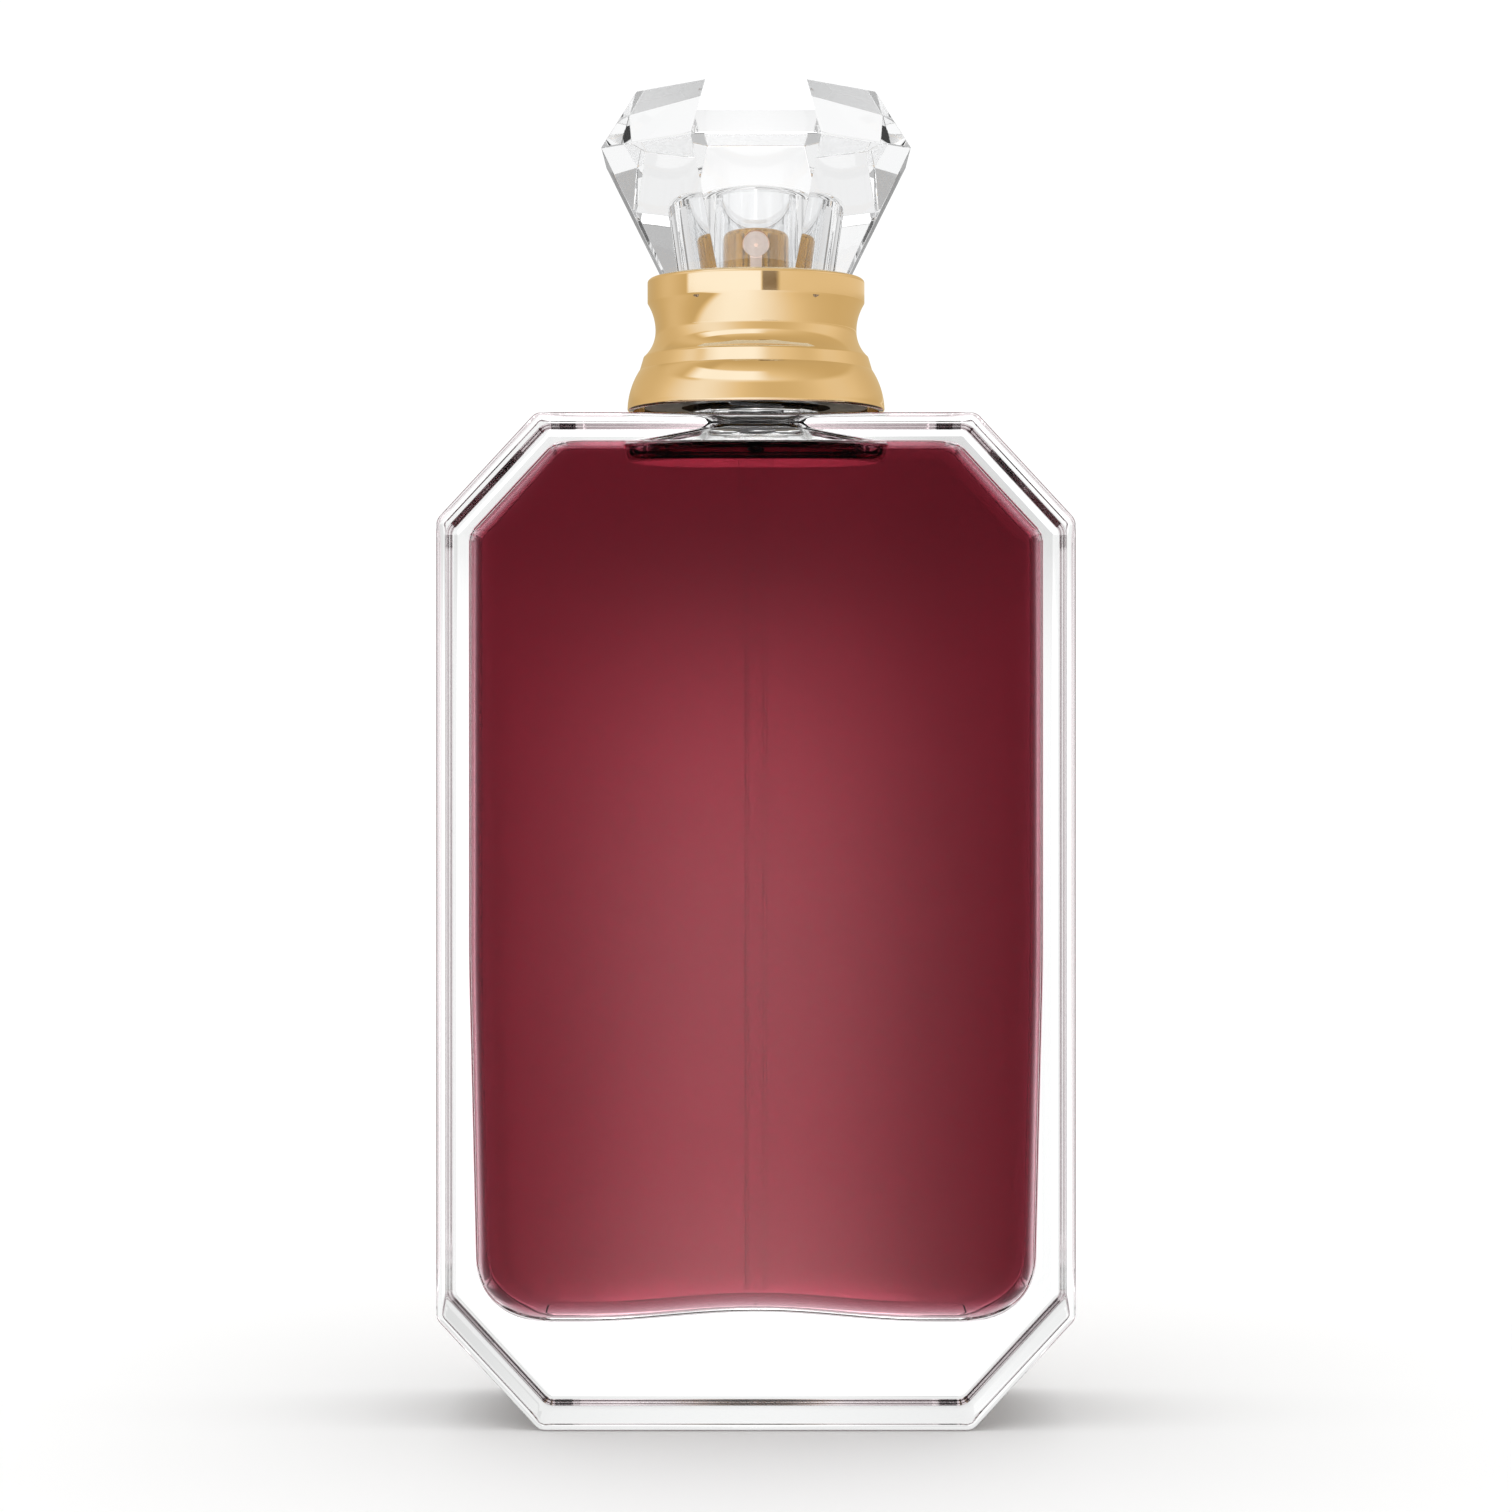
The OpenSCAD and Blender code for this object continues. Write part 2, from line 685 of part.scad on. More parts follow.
module spray_insert() {
  color([0.88, 0.78, 0.72]) translate([0, nozzle_face_y, nozzle_z]) rotate([-90, 0, 0]) difference() {
    cylinder(d = nozzle_d, h = nozzle_len);
    translate([0, 0, nozzle_face_t]) cylinder(r = swirl_r, h = nozzle_len);
    translate([0, 0, -cut]) cylinder(d = spray_hole_d, h = nozzle_len);
  }
}

// ---- Cap ----

module gem_block() {
  intersection_for(turn = [0:45:135]) rotate([90, 0, turn]) translate([0, 0, -reach])
    linear_extrude(2 * reach) polygon([
      [-foot_w / 2, cap_z], [foot_w / 2, cap_z], [girdle_w / 2, girdle_z],
      [table_w / 2, table_z], [-table_w / 2, table_z], [-girdle_w / 2, girdle_z]
    ]);
}

module gem_cap() {
  color([0.95, 0.96, 0.97, 0.3]) difference() {
    gem_block();
    cylinder(d = cap_bore, h = bore_top_z);
  }
}

module cap_insert() {
  color([0.96, 0.96, 0.96, 0.4]) ring_body(sleeve_out_r, sleeve_in_r, sleeve_z, bore_top_z - sleeve_z);
}

glass_bottle();
perfume();
neck_gasket();
crimp_ferrule();
collar_liner();
collar_shell();
pump_housing();
pump_turret();
stem_seal();
dip_tube();
return_spring();
inlet_ball();
valve_stem();
piston();
spring_seat();
actuator_core();
actuator_shell();
spray_insert();
gem_cap();
cap_insert();
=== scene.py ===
from math import asin, atan2, cos, degrees, hypot, pi, radians, sin, sqrt, tan

import bmesh
import bpy
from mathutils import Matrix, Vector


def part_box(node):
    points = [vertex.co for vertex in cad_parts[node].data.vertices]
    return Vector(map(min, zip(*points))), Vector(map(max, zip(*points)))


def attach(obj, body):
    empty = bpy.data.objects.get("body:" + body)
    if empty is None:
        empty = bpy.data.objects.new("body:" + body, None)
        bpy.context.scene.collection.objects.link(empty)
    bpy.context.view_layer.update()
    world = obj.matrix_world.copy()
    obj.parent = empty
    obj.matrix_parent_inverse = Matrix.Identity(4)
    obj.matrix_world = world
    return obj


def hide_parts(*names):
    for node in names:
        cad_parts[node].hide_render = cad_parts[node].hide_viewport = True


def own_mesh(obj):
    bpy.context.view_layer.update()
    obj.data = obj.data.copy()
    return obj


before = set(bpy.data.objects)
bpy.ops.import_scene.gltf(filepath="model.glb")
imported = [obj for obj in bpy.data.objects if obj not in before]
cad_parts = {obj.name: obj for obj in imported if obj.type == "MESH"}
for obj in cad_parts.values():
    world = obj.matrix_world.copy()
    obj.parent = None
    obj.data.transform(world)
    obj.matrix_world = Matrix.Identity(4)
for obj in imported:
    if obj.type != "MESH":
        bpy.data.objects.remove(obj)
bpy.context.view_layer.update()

MM = 0.001
CAVITY_STEPS = 256  # points round one level of the cavity and of the neck
SKIN = 0.03  # how far the liquid reaches into the glass, so that no air film shows
SHARP_ANGLE = 32.0  # edges with a bigger angle, in degrees, shade sharp


# ---- Sizes in millimetres, from the frame where a node's box gives them ----


def node_box(name):
    """Low and high corner of a CAD node."""
    low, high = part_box(name)
    return [v / MM for v in low], [v / MM for v in high]


GLASS_LOW, GLASS_HIGH = node_box("glass_bottle")
LIQUID_LOW = node_box("perfume")[0]
COLLAR_LOW, COLLAR_HIGH = node_box("collar_shell")
JACKET_LOW, JACKET_HIGH = node_box("actuator_shell")
NOZZLE_LOW = node_box("spray_insert")[0]
GEM_LOW, GEM_HIGH = node_box("gem_cap")
SLEEVE_LOW, SLEEVE_HIGH = node_box("cap_insert")
TUBE_LOW, TUBE_HIGH = node_box("dip_tube")
SPRING_LOW, SPRING_HIGH = node_box("return_spring")

BODY_W = GLASS_HIGH[0] - GLASS_LOW[0]
BODY_D = GLASS_HIGH[1] - GLASS_LOW[1]
BODY_H = 105.4  # to the flat top that the neck stands on
MOUTH_Z = GLASS_HIGH[2]
MOUTH_SEAM_Z = MOUTH_Z - 0.5  # where the neck's inside meets the cavity's
TOP_CUT = 10.3  # width that the upper corners lose
FOOT_CUT = 10.66  # width that the lower corners lose
CUT_STEEPNESS = 1.08  # height that a corner loses for each unit of width
FACE_EDGE_R = 1.0
CORNER_R = 1.5
SIDE_WALL = 3.1
FACE_WALL = 4.1
LIQUID_GAP = 0.03  # the CAD liquid's clearance to the glass

NECK_R = 6.7
NECK_ROOT_R = 1.1
BEAD_R = 7.5
BEAD_Z = 108.4
BORE_R = 4.8

CAVITY_HALF_W = BODY_W / 2 - SIDE_WALL
CAVITY_HALF_D = BODY_D / 2 - FACE_WALL
CAVITY_WIDEST_Z = 48.0
FLOOR_Z = LIQUID_LOW[2] - LIQUID_GAP
CEILING_Z = 102.7
DOME_HALF_W = 13.8
DOME_HALF_D = 8.7
PLAN_CORNER_R = 2.5
CEILING_RISE = 1.6  # how far the dome under the neck rises to the bore
FLOOR_HUMP = 1.0
HUMP_HALF_W = 18.0
HUMP_FADE = 14.0  # height over which the hump leaves the wall
FOOT_TAPER = 0.9

# ---- Mesh helpers ----


def shade_smooth(mesh, sharp_deg):
    mesh.polygons.foreach_set("use_smooth", [True] * len(mesh.polygons))
    mesh.set_sharp_from_angle(angle=radians(sharp_deg))


def finish_mesh(name, bm, material, body, nodes, sharp_deg=SHARP_ANGLE):
    """Makes a bmesh in millimetres into a piece that rides on a body and replaces CAD nodes."""
    bmesh.ops.recalc_face_normals(bm, faces=bm.faces)
    bmesh.ops.scale(bm, vec=(MM, MM, MM), verts=bm.verts)
    mesh = bpy.data.meshes.new(name)
    bm.to_mesh(mesh)
    bm.free()
    shade_smooth(mesh, sharp_deg)
    piece = bpy.data.objects.new(name, mesh)
    bpy.context.scene.collection.objects.link(piece)
    mesh.materials.append(material)
    normals = piece.modifiers.new("flat_faces", "WEIGHTED_NORMAL")
    normals.keep_sharp = True
    normals.weight = 80
    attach(piece, body)
    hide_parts(*nodes)
    return piece


def join_rings(bm, low, high):
    """Quads between two rings of the same number of points."""
    count = len(low)
    for i in range(count):
        j = (i + 1) % count
        bm.faces.new((low[i], low[j], high[j], high[i]))


def join_all(bm, rings):
    """Quads between each ring and the next."""
    for low, high in zip(rings, rings[1:]):
        join_rings(bm, low, high)


def close_ring(bm, ring, tip):
    """Triangles from a ring to one point."""
    for a, b in zip(ring, ring[1:] + ring[:1]):
        bm.faces.new((a, b, tip))


def ring_of(bm, points):
    return [bm.verts.new(point) for point in points]


def circle_ring(bm, radius, z, steps):
    return [
        bm.verts.new((radius * cos(2 * pi * i / steps), radius * sin(2 * pi * i / steps), z))
        for i in range(steps)
    ]


def lathe(bm, profile, steps):
    """A turned solid from a closed outline of (radius, height) points, 0 being on the axis."""
    rings = []
    for radius, z in profile:
        on_axis = radius < 1e-6
        rings.append(bm.verts.new((0, 0, z)) if on_axis else circle_ring(bm, radius, z, steps))
    for low, high in zip(rings, rings[1:] + rings[:1]):
        if isinstance(low, list) and isinstance(high, list):
            join_rings(bm, low, high)
        elif isinstance(low, list) or isinstance(high, list):
            ring, tip = (low, high) if isinstance(low, list) else (high, low)
            close_ring(bm, ring, tip)


def support_points(start, end, reach):
    """Two points on a side, a little in from its ends."""
    (x0, z0), (x1, z1) = start, end
    share = reach / hypot(x1 - x0, z1 - z0)
    return [
        (x0 + (x1 - x0) * share, z0 + (z1 - z0) * share),
        (x1 + (x0 - x1) * share, z1 + (z0 - z1) * share),
    ]


def supported(points, reach=0.05, shortest=0.5, closed=True):
    """Adds a point near both ends of each long side, so that shading keeps the side flat."""
    out = []
    count = len(points)
    for i, (x0, z0) in enumerate(points):
        out.append((x0, z0))
        if not closed and i == count - 1:
            break
        x1, z1 = points[(i + 1) % count]
        if hypot(x1 - x0, z1 - z0) > shortest:
            out += support_points((x0, z0), (x1, z1), reach)
    return out


def turned(name, profile, material, body, nodes, steps):
    bm = bmesh.new()
    lathe(bm, supported(profile), steps)
    return finish_mesh(name, bm, material, body, nodes)


def arc(cx, cz, radius, start, end, steps):
    """Points along an arc, its angles in degrees."""
    return [
        (
            cx + radius * cos(radians(start + (end - start) * i / steps)),
            cz + radius * sin(radians(start + (end - start) * i / steps)),
        )
        for i in range(steps + 1)
    ]


def filleted(points, radii, steps, closed=False):
    """The outline through the points, with an arc of the given radius at each corner."""
    out = []
    count = len(points)
    for i, (x, z) in enumerate(points):
        radius = radii[i]
        if radius <= 0 or (not closed and i in (0, count - 1)):
            out.append((x, z))
            continue
        before, after = points[i - 1], points[(i + 1) % count]
        in_x, in_z = before[0] - x, before[1] - z
        out_x, out_z = after[0] - x, after[1] - z
        in_len, out_len = hypot(in_x, in_z), hypot(out_x, out_z)
        in_x, in_z, out_x, out_z = in_x / in_len, in_z / in_len, out_x / out_len, out_z / out_len
        half = 0.5 * pi - 0.5 * atan2(
            abs(in_x * out_z - in_z * out_x), in_x * out_x + in_z * out_z
        )
        reach = min(radius * tan(half), 0.49 * in_len, 0.49 * out_len)
        radius = reach / tan(half)
        mid_x, mid_z = in_x + out_x, in_z + out_z
        mid_len = hypot(mid_x, mid_z)
        centre_d = hypot(radius, reach)
        cx, cz = x + mid_x / mid_len * centre_d, z + mid_z / mid_len * centre_d
        a0 = atan2(z + in_z * reach - cz, x + in_x * reach - cx)
        a1 = atan2(z + out_z * reach - cz, x + out_x * reach - cx)
        sweep = (a1 - a0 + pi) % (2 * pi) - pi
        for k in range(steps + 1):
            a = a0 + sweep * k / steps
            out.append((cx + radius * cos(a), cz + radius * sin(a)))
    return out


def fill_with_hole(bm, outer, hole):
    """Flat triangles between an outer loop of points and a ring inside it."""
    edges = []
    for loop in (outer, hole):
        for a, b in zip(loop, loop[1:] + loop[:1]):
            edges.append(bm.edges.get((a, b)) or bm.edges.new((a, b)))
    bmesh.ops.triangle_fill(bm, edges=edges, use_beauty=True, use_dissolve=False)


# ---- Material helpers ----

NOISE_LOW, NOISE_HIGH = 0.3, 0.7  # nearly all of a noise texture lies between these
GLASS_IOR = 1.5
PLASTIC_IOR = 1.49
LIQUID_IOR = 1.36


def node_tree(name):
    material = bpy.data.materials.new(name)
    material.use_nodes = True
    tree = material.node_tree
    return material, tree, tree.nodes["Principled BSDF"], tree.nodes["Material Output"]


def add(tree, kind, **values):
    node = tree.nodes.new(kind)
    for key, value in values.items():
        setattr(node, key, value)
    return node


def noise(tree, scale, detail=3.0):
    coords = add(tree, "ShaderNodeTexCoord")
    texture = add(tree, "ShaderNodeTexNoise")
    texture.inputs["Scale"].default_value = scale
    texture.inputs["Detail"].default_value = detail
    texture.inputs["Roughness"].default_value = 0.5
    tree.links.new(coords.outputs["Object"], texture.inputs["Vector"])
    return texture


def spread(tree, source, low, high):
    """Maps a texture's 0 to 1 onto low to high."""
    remap = add(tree, "ShaderNodeMapRange")
    remap.inputs["From Min"].default_value = NOISE_LOW
    remap.inputs["From Max"].default_value = NOISE_HIGH
    remap.inputs["To Min"].default_value = low
    remap.inputs["To Max"].default_value = high
    tree.links.new(source, remap.inputs["Value"])
    return remap.outputs["Result"]


def two_tone(tree, source, low, high):
    """Maps a texture's 0 to 1 onto two colours."""
    ramp = add(tree, "ShaderNodeValToRGB")
    ramp.color_ramp.elements[0].position = NOISE_LOW
    ramp.color_ramp.elements[1].position = NOISE_HIGH
    ramp.color_ramp.elements[0].color = (*low, 1)
    ramp.color_ramp.elements[1].color = (*high, 1)
    tree.links.new(source, ramp.inputs["Fac"])
    return ramp.outputs["Color"]


def bumped(tree, shader, source, height):
    bump = add(tree, "ShaderNodeBump")
    bump.inputs["Strength"].default_value = 1.0
    bump.inputs["Distance"].default_value = height * MM
    tree.links.new(source, bump.inputs["Height"])
    tree.links.new(bump.outputs["Normal"], shader.inputs["Normal"])


def glass_material(name, tint, ior, cloud_scale):
    """Clear glass or clear plastic, its tint not quite even."""
    material, tree, shader, _ = node_tree(name)
    shader.inputs["Transmission Weight"].default_value = 1.0
    shader.inputs["IOR"].default_value = ior
    shader.inputs["Roughness"].default_value = 0.0
    cloud = noise(tree, cloud_scale, 1.0)
    tree.links.new(
        two_tone(tree, cloud.outputs["Fac"], tint, [min(1.0, c * 1.01) for c in tint]),
        shader.inputs["Base Color"],
    )
    return material


def liquid_material(name, ior):
    """Burgundy perfume: clear, coloured by its depth."""
    material, tree, shader, output = node_tree(name)
    shader.inputs["Transmission Weight"].default_value = 1.0
    shader.inputs["IOR"].default_value = ior
    shader.inputs["Roughness"].default_value = 0.0
    shader.inputs["Specular Tint"].default_value = (0.0, 0.0, 0.0, 1)
    cloud = noise(tree, 30, 2.0)
    tree.links.new(
        two_tone(tree, cloud.outputs["Fac"], (0.97, 0.93, 0.94), (1.0, 0.97, 0.98)),
        shader.inputs["Base Color"],
    )
    depth = add(tree, "ShaderNodeVolumeAbsorption")
    depth.inputs["Color"].default_value = (0.565, 0.0, 0.135, 1)
    depth.inputs["Density"].default_value = 230.0
    tree.links.new(depth.outputs["Volume"], output.inputs["Volume"])
    return material


def metal_material(name, low, high, roughness, grain_scale):
    material, tree, shader, _ = node_tree(name)
    shader.inputs["Metallic"].default_value = 1.0
    grain = noise(tree, grain_scale, 4.0)
    tree.links.new(two_tone(tree, grain.outputs["Fac"], low, high), shader.inputs["Base Color"])
    tree.links.new(
        spread(tree, grain.outputs["Fac"], roughness * 0.8, roughness * 1.2),
        shader.inputs["Roughness"],
    )
    return material


def plastic_material(name, low, high, roughness, grain_scale, grain_height=0.004):
    material, tree, shader, _ = node_tree(name)
    grain = noise(tree, grain_scale, 3.0)
    tree.links.new(two_tone(tree, grain.outputs["Fac"], low, high), shader.inputs["Base Color"])
    tree.links.new(
        spread(tree, grain.outputs["Fac"], roughness * 0.85, roughness * 1.15),
        shader.inputs["Roughness"],
    )
    bumped(tree, shader, grain.outputs["Fac"], grain_height)
    return material


def paint_glow(material, colour, strength):
    """Painted light: a faint emission glow that stands in for the light missing on a face that only
    scattered light reaches.
    """
    shader = material.node_tree.nodes["Principled BSDF"]
    shader.inputs["Emission Color"].default_value = (*colour, 1)
    shader.inputs["Emission Strength"].default_value = strength


GLASS = glass_material("flask_glass", (0.985, 0.995, 0.99), GLASS_IOR, 60)
CRYSTAL = glass_material("gem_plastic", (0.99, 0.995, 1.0), PLASTIC_IOR, 80)
SLEEVE_CLEAR = glass_material("sleeve_plastic", (0.98, 0.985, 0.99), PLASTIC_IOR, 120)
# a clear piece that is mostly dipped in the liquid, so light goes nearly straight through it
DIPPED_CLEAR = glass_material("dipped_plastic", (0.99, 0.99, 0.99), 1.006, 120)
# the glass wall where the liquid touches it, and the liquid's own side of the same wall
WETTED_GLASS = glass_material("wetted_glass", (0.99, 0.99, 0.99), GLASS_IOR / LIQUID_IOR, 60)
LIQUID = liquid_material("burgundy_perfume", LIQUID_IOR)
LIQUID_WALL = liquid_material("burgundy_against_glass", 1.0)
GOLD = metal_material("polished_gold", (0.85, 0.67, 0.41), (0.88, 0.7, 0.44), 0.035, 180)
BUTTON_GOLD = metal_material("button_gold", (0.5, 0.26, 0.05), (0.58, 0.32, 0.07), 0.05, 180)
STEEL = metal_material("bright_steel", (0.62, 0.63, 0.65), (0.72, 0.73, 0.75), 0.2, 900)
WHITE_PLASTIC = plastic_material("white_plastic", (0.78, 0.78, 0.76), (0.84, 0.84, 0.82), 0.35, 800)
CREAM_PLASTIC = plastic_material("cream_plastic", (0.5, 0.4, 0.34), (0.55, 0.44, 0.38), 0.3, 900)
DARK_PLASTIC = plastic_material(
    "dark_plastic", (0.045, 0.03, 0.022), (0.07, 0.048, 0.035), 0.35, 800
)
SATIN_FOOT = plastic_material("satin_foot", (0.92, 0.93, 0.94), (0.95, 0.96, 0.97), 0.5, 400)
RUBBER = plastic_material("seal_rubber", (0.03, 0.03, 0.032), (0.05, 0.05, 0.052), 0.6, 1500)
# painted light: emission glows brighten the cap's satin foot and the cream plastic of the nozzle
# and the button's core
paint_glow(SATIN_FOOT, (1.0, 1.0, 1.0), 0.55)
paint_glow(CREAM_PLASTIC, (0.9, 0.72, 0.62), 0.5)


# ---- Flask ----


def inset_outline(points, distance):
    """A convex outline, anticlockwise, with every side moved inwards."""
    lines = []
    count = len(points)
    for i in range(count):
        (x0, z0), (x1, z1) = points[i], points[(i + 1) % count]
        length = hypot(x1 - x0, z1 - z0)
        nx, nz = -(z1 - z0) / length, (x1 - x0) / length
        lines.append((nx, nz, nx * x0 + nz * z0 + distance))
    out = []
    for i in range(count):
        a1, b1, c1 = lines[i - 1]
        a2, b2, c2 = lines[i]
        det = a1 * b2 - a2 * b1
        out.append(((c1 * b2 - c2 * b1) / det, (a1 * c2 - a2 * c1) / det))
    return out


def flask_outline(inset):
    """The flask's front outline, moved in, from the foot's left end round anticlockwise."""
    half_w = BODY_W / 2
    foot_x, top_x = half_w - FOOT_CUT, half_w - TOP_CUT
    foot_z, top_z = FOOT_CUT * CUT_STEEPNESS, BODY_H - TOP_CUT * CUT_STEEPNESS
    corners = [
        (-foot_x, 0), (foot_x, 0), (half_w, foot_z), (half_w, top_z),
        (top_x, BODY_H), (-top_x, BODY_H), (-half_w, top_z), (-half_w, foot_z),
    ]
    radii = [CORNER_R - inset] * len(corners)
    steps = 6
    outline = filleted(inset_outline(corners, inset), radii, steps, closed=True)
    out = []
    for i, point in enumerate(outline):
        out.append(point)
        if i % (steps + 1) == steps:
            out += support_points(point, outline[(i + 1) % len(outline)], 0.1)
    return out


def cavity_front():
    """Half outline of the cavity seen from the front, from the floor's edge up to the mouth."""
    # the shoulder's line is CUT_STEEPNESS * x + z = line, one wall inside the glass's own
    line = CUT_STEEPNESS * (BODY_W / 2 - TOP_CUT) + BODY_H - SIDE_WALL * hypot(CUT_STEEPNESS, 1)
    knee_x = (line - CEILING_Z) / CUT_STEEPNESS
    side_z = line - CUT_STEEPNESS * CAVITY_HALF_W
    corners = [  # x, z and fillet radius
        (15.0, FLOOR_Z, 0),
        (CAVITY_HALF_W - FOOT_TAPER, FLOOR_Z, 14.0),
        (CAVITY_HALF_W, CAVITY_WIDEST_Z, 200),
        (CAVITY_HALF_W, side_z, 2.2),
        (knee_x, CEILING_Z, 2.5),
        (DOME_HALF_W, CEILING_Z, 4.0),
        (BORE_R, CEILING_Z + CEILING_RISE, 1.6),
        (BORE_R, MOUTH_SEAM_Z, 0),
    ]
    outline = filleted([(x, z) for x, z, _ in corners], [radius for _, _, radius in corners], 16)
    return supported(outline, reach=0.2, shortest=1.5, closed=False)


def cavity_half_depth(z):
    """Half depth of the cavity at a height: rounded heel, flat faces, and a dome into the neck."""
    heel_r, edge_r, dome_top = 5.0, 1.2, CEILING_Z + CEILING_RISE + 0.9
    if z < FLOOR_Z + heel_r:
        return CAVITY_HALF_D - heel_r + sqrt(max(0, heel_r**2 - (heel_r - z + FLOOR_Z) ** 2))
    if z < CEILING_Z - edge_r:
        return CAVITY_HALF_D
    top_d = CAVITY_HALF_D - edge_r
    if z < CEILING_Z:
        return top_d + sqrt(max(0, edge_r**2 - (edge_r + z - CEILING_Z) ** 2))
    if z < dome_top:
        share = (z - CEILING_Z) / (dome_top - CEILING_Z)
        return BORE_R + (top_d - BORE_R) * (1 - share**6)
    return BORE_R


def floor_lift(x, z):
    """How far the hump in the floor raises a point of the cavity's wall."""
    if abs(x) > HUMP_HALF_W:
        return 0.0
    fade = max(0.0, 1 - (z - FLOOR_Z) / HUMP_FADE) ** 2
    return FLOOR_HUMP * 0.5 * (1 + cos(pi * x / HUMP_HALF_W)) * fade


def rounded_level(half_w, half_d, corner_r, z):
    """Points round a rounded rectangle, spaced by angle so that levels line up."""
    corner_r = min(corner_r, half_w, half_d)
    cx, cy = half_w - corner_r, half_d - corner_r
    tiny, huge = 1e-9, 1e9
    out = []
    for i in range(CAVITY_STEPS):
        t = 2 * pi * i / CAVITY_STEPS
        dx, dy = abs(half_w * cos(t)), abs(half_d * sin(t))
        scale = min(half_w / dx if dx > tiny else huge, half_d / dy if dy > tiny else huge)
        x, y = dx * scale, dy * scale
        if x > cx and y > cy:
            a, b, c = dx * dx + dy * dy, dx * cx + dy * cy, cx * cx + cy * cy - corner_r**2
            scale = (b + sqrt(max(0, b * b - a * c))) / a
            x, y = dx * scale, dy * scale
        x, y = (x if cos(t) >= 0 else -x), (y if sin(t) >= 0 else -y)
        out.append((x, y, z + floor_lift(x, z)))
    return out


def cavity_levels(skin, top_z):
    """Levels of the cavity from the floor up, grown by a skin that lifts them near the ceiling."""
    levels = []
    lift_height = 1.2
    for x, z in cavity_front():
        if z > top_z:
            break
        rise = skin * max(0.0, 1 - (CEILING_Z - z) / lift_height)
        levels.append((x + skin, cavity_half_depth(z) + skin, PLAN_CORNER_R + skin, z + rise))
    return levels


def close_floor(bm, edge, level):
    """Fills the floor from its edge ring to its middle, following the hump."""
    half_w, half_d, corner_r, z = level
    rings = [edge]
    steps = 14
    for k in range(1, steps):
        s = 1 - k / steps
        rings.append(ring_of(bm, rounded_level(half_w * s, half_d * s, corner_r * s, z)))
    join_all(bm, rings)
    close_ring(bm, rings[-1], bm.verts.new((0, 0, z + FLOOR_HUMP)))


def flask_stations():
    """(Inset, y) of the outlines that the body is skinned over, from its front to its back."""
    half_d = BODY_D / 2
    support = 0.1
    steps = 6
    stations = [(1 + support, -half_d)]
    for k in range(steps + 1):
        a = radians(90 * (1 - k / steps))
        stations.append((1 - cos(a), -(half_d - FACE_EDGE_R + FACE_EDGE_R * sin(a))))
    stations.append((0, -(half_d - FACE_EDGE_R - support)))
    return stations + [(inset, -y) for inset, y in reversed(stations)]


def flask_body(bm):
    """The outside of the body, with a hole in its flat top. Returns the hole's corners."""
    rings = []
    for inset, y in flask_stations():
        outline = flask_outline(inset * FACE_EDGE_R)
        rings.append(ring_of(bm, [(x, y, z) for x, z in outline]))
    middle = len(rings) // 2 - 1
    count = len(rings[0])
    # the flat of the top lies between the two support points after the fifth corner
    top_from, top_to = 5 * (count // 8) - 2, 5 * (count // 8) - 1
    for k, (low, high) in enumerate(zip(rings, rings[1:])):
        for i in range(count):
            j = (i + 1) % count
            if k == middle and i == top_from:
                continue
            bm.faces.new((low[i], low[j], high[j], high[i]))
    bm.faces.new(rings[0])
    bm.faces.new(rings[-1])
    low, high = rings[middle], rings[middle + 1]
    return [low[top_from], low[top_to], high[top_to], high[top_from]]


def flask_neck(bm):
    """Rings of the neck, from its root on the shoulder up over the bead and into the mouth."""
    profile = arc(NECK_R + NECK_ROOT_R, BODY_H + NECK_ROOT_R, NECK_ROOT_R, 270, 180, 8)
    corners = [  # radius, z and fillet radius
        (NECK_R, BODY_H + NECK_ROOT_R + 0.2, 0),
        (NECK_R, BEAD_Z, 0.3),
        (BEAD_R, BEAD_Z + 0.6, 0.4),
        (BEAD_R, MOUTH_Z, 0.5),
        (BORE_R, MOUTH_Z, 0.4),
        (BORE_R, MOUTH_SEAM_Z, 0),
    ]
    profile += filleted([(r, z) for r, z, _ in corners], [radius for _, _, radius in corners], 5)
    return [circle_ring(bm, r, z, CAVITY_STEPS) for r, z in profile]


def flask():
    bm = bmesh.new()
    top = flask_body(bm)
    neck = flask_neck(bm)
    join_all(bm, neck)
    fill_with_hole(bm, top, neck[0])

    outside = len(bm.faces)
    levels = cavity_levels(0, MOUTH_SEAM_Z - 0.01)
    cavity = [ring_of(bm, rounded_level(*level)) for level in levels]
    join_rings(bm, cavity[-1], neck[-1])
    join_all(bm, cavity)
    close_floor(bm, cavity[0], levels[0])
    for face in list(bm.faces)[outside:]:
        if max(v.co.z for v in face.verts) < CEILING_Z + 0.01:
            face.material_index = 1
    piece = finish_mesh("flask", bm, GLASS, "bottle", ["glass_bottle"])
    piece.data.materials.append(WETTED_GLASS)
    return piece


def bubble_rings():
    """The air left under the neck, as levels of the liquid's top: down its side, then flat."""
    depth, side_r, steps = 1.9, 1.3, 8
    rings = []
    for k in range(steps + 1):
        a = 0.5 * pi * k / steps
        inset = side_r * (1 - cos(a)) ** 2
        rings.append((inset, CEILING_Z + SKIN - (depth + SKIN) * sin(a) ** 0.8))
    rings += [(inset, CEILING_Z - depth) for inset in (2.0, 3.5, 6.0)]
    return [rounded_level(DOME_HALF_W - t, DOME_HALF_D - t, DOME_HALF_D - t, z) for t, z in rings]


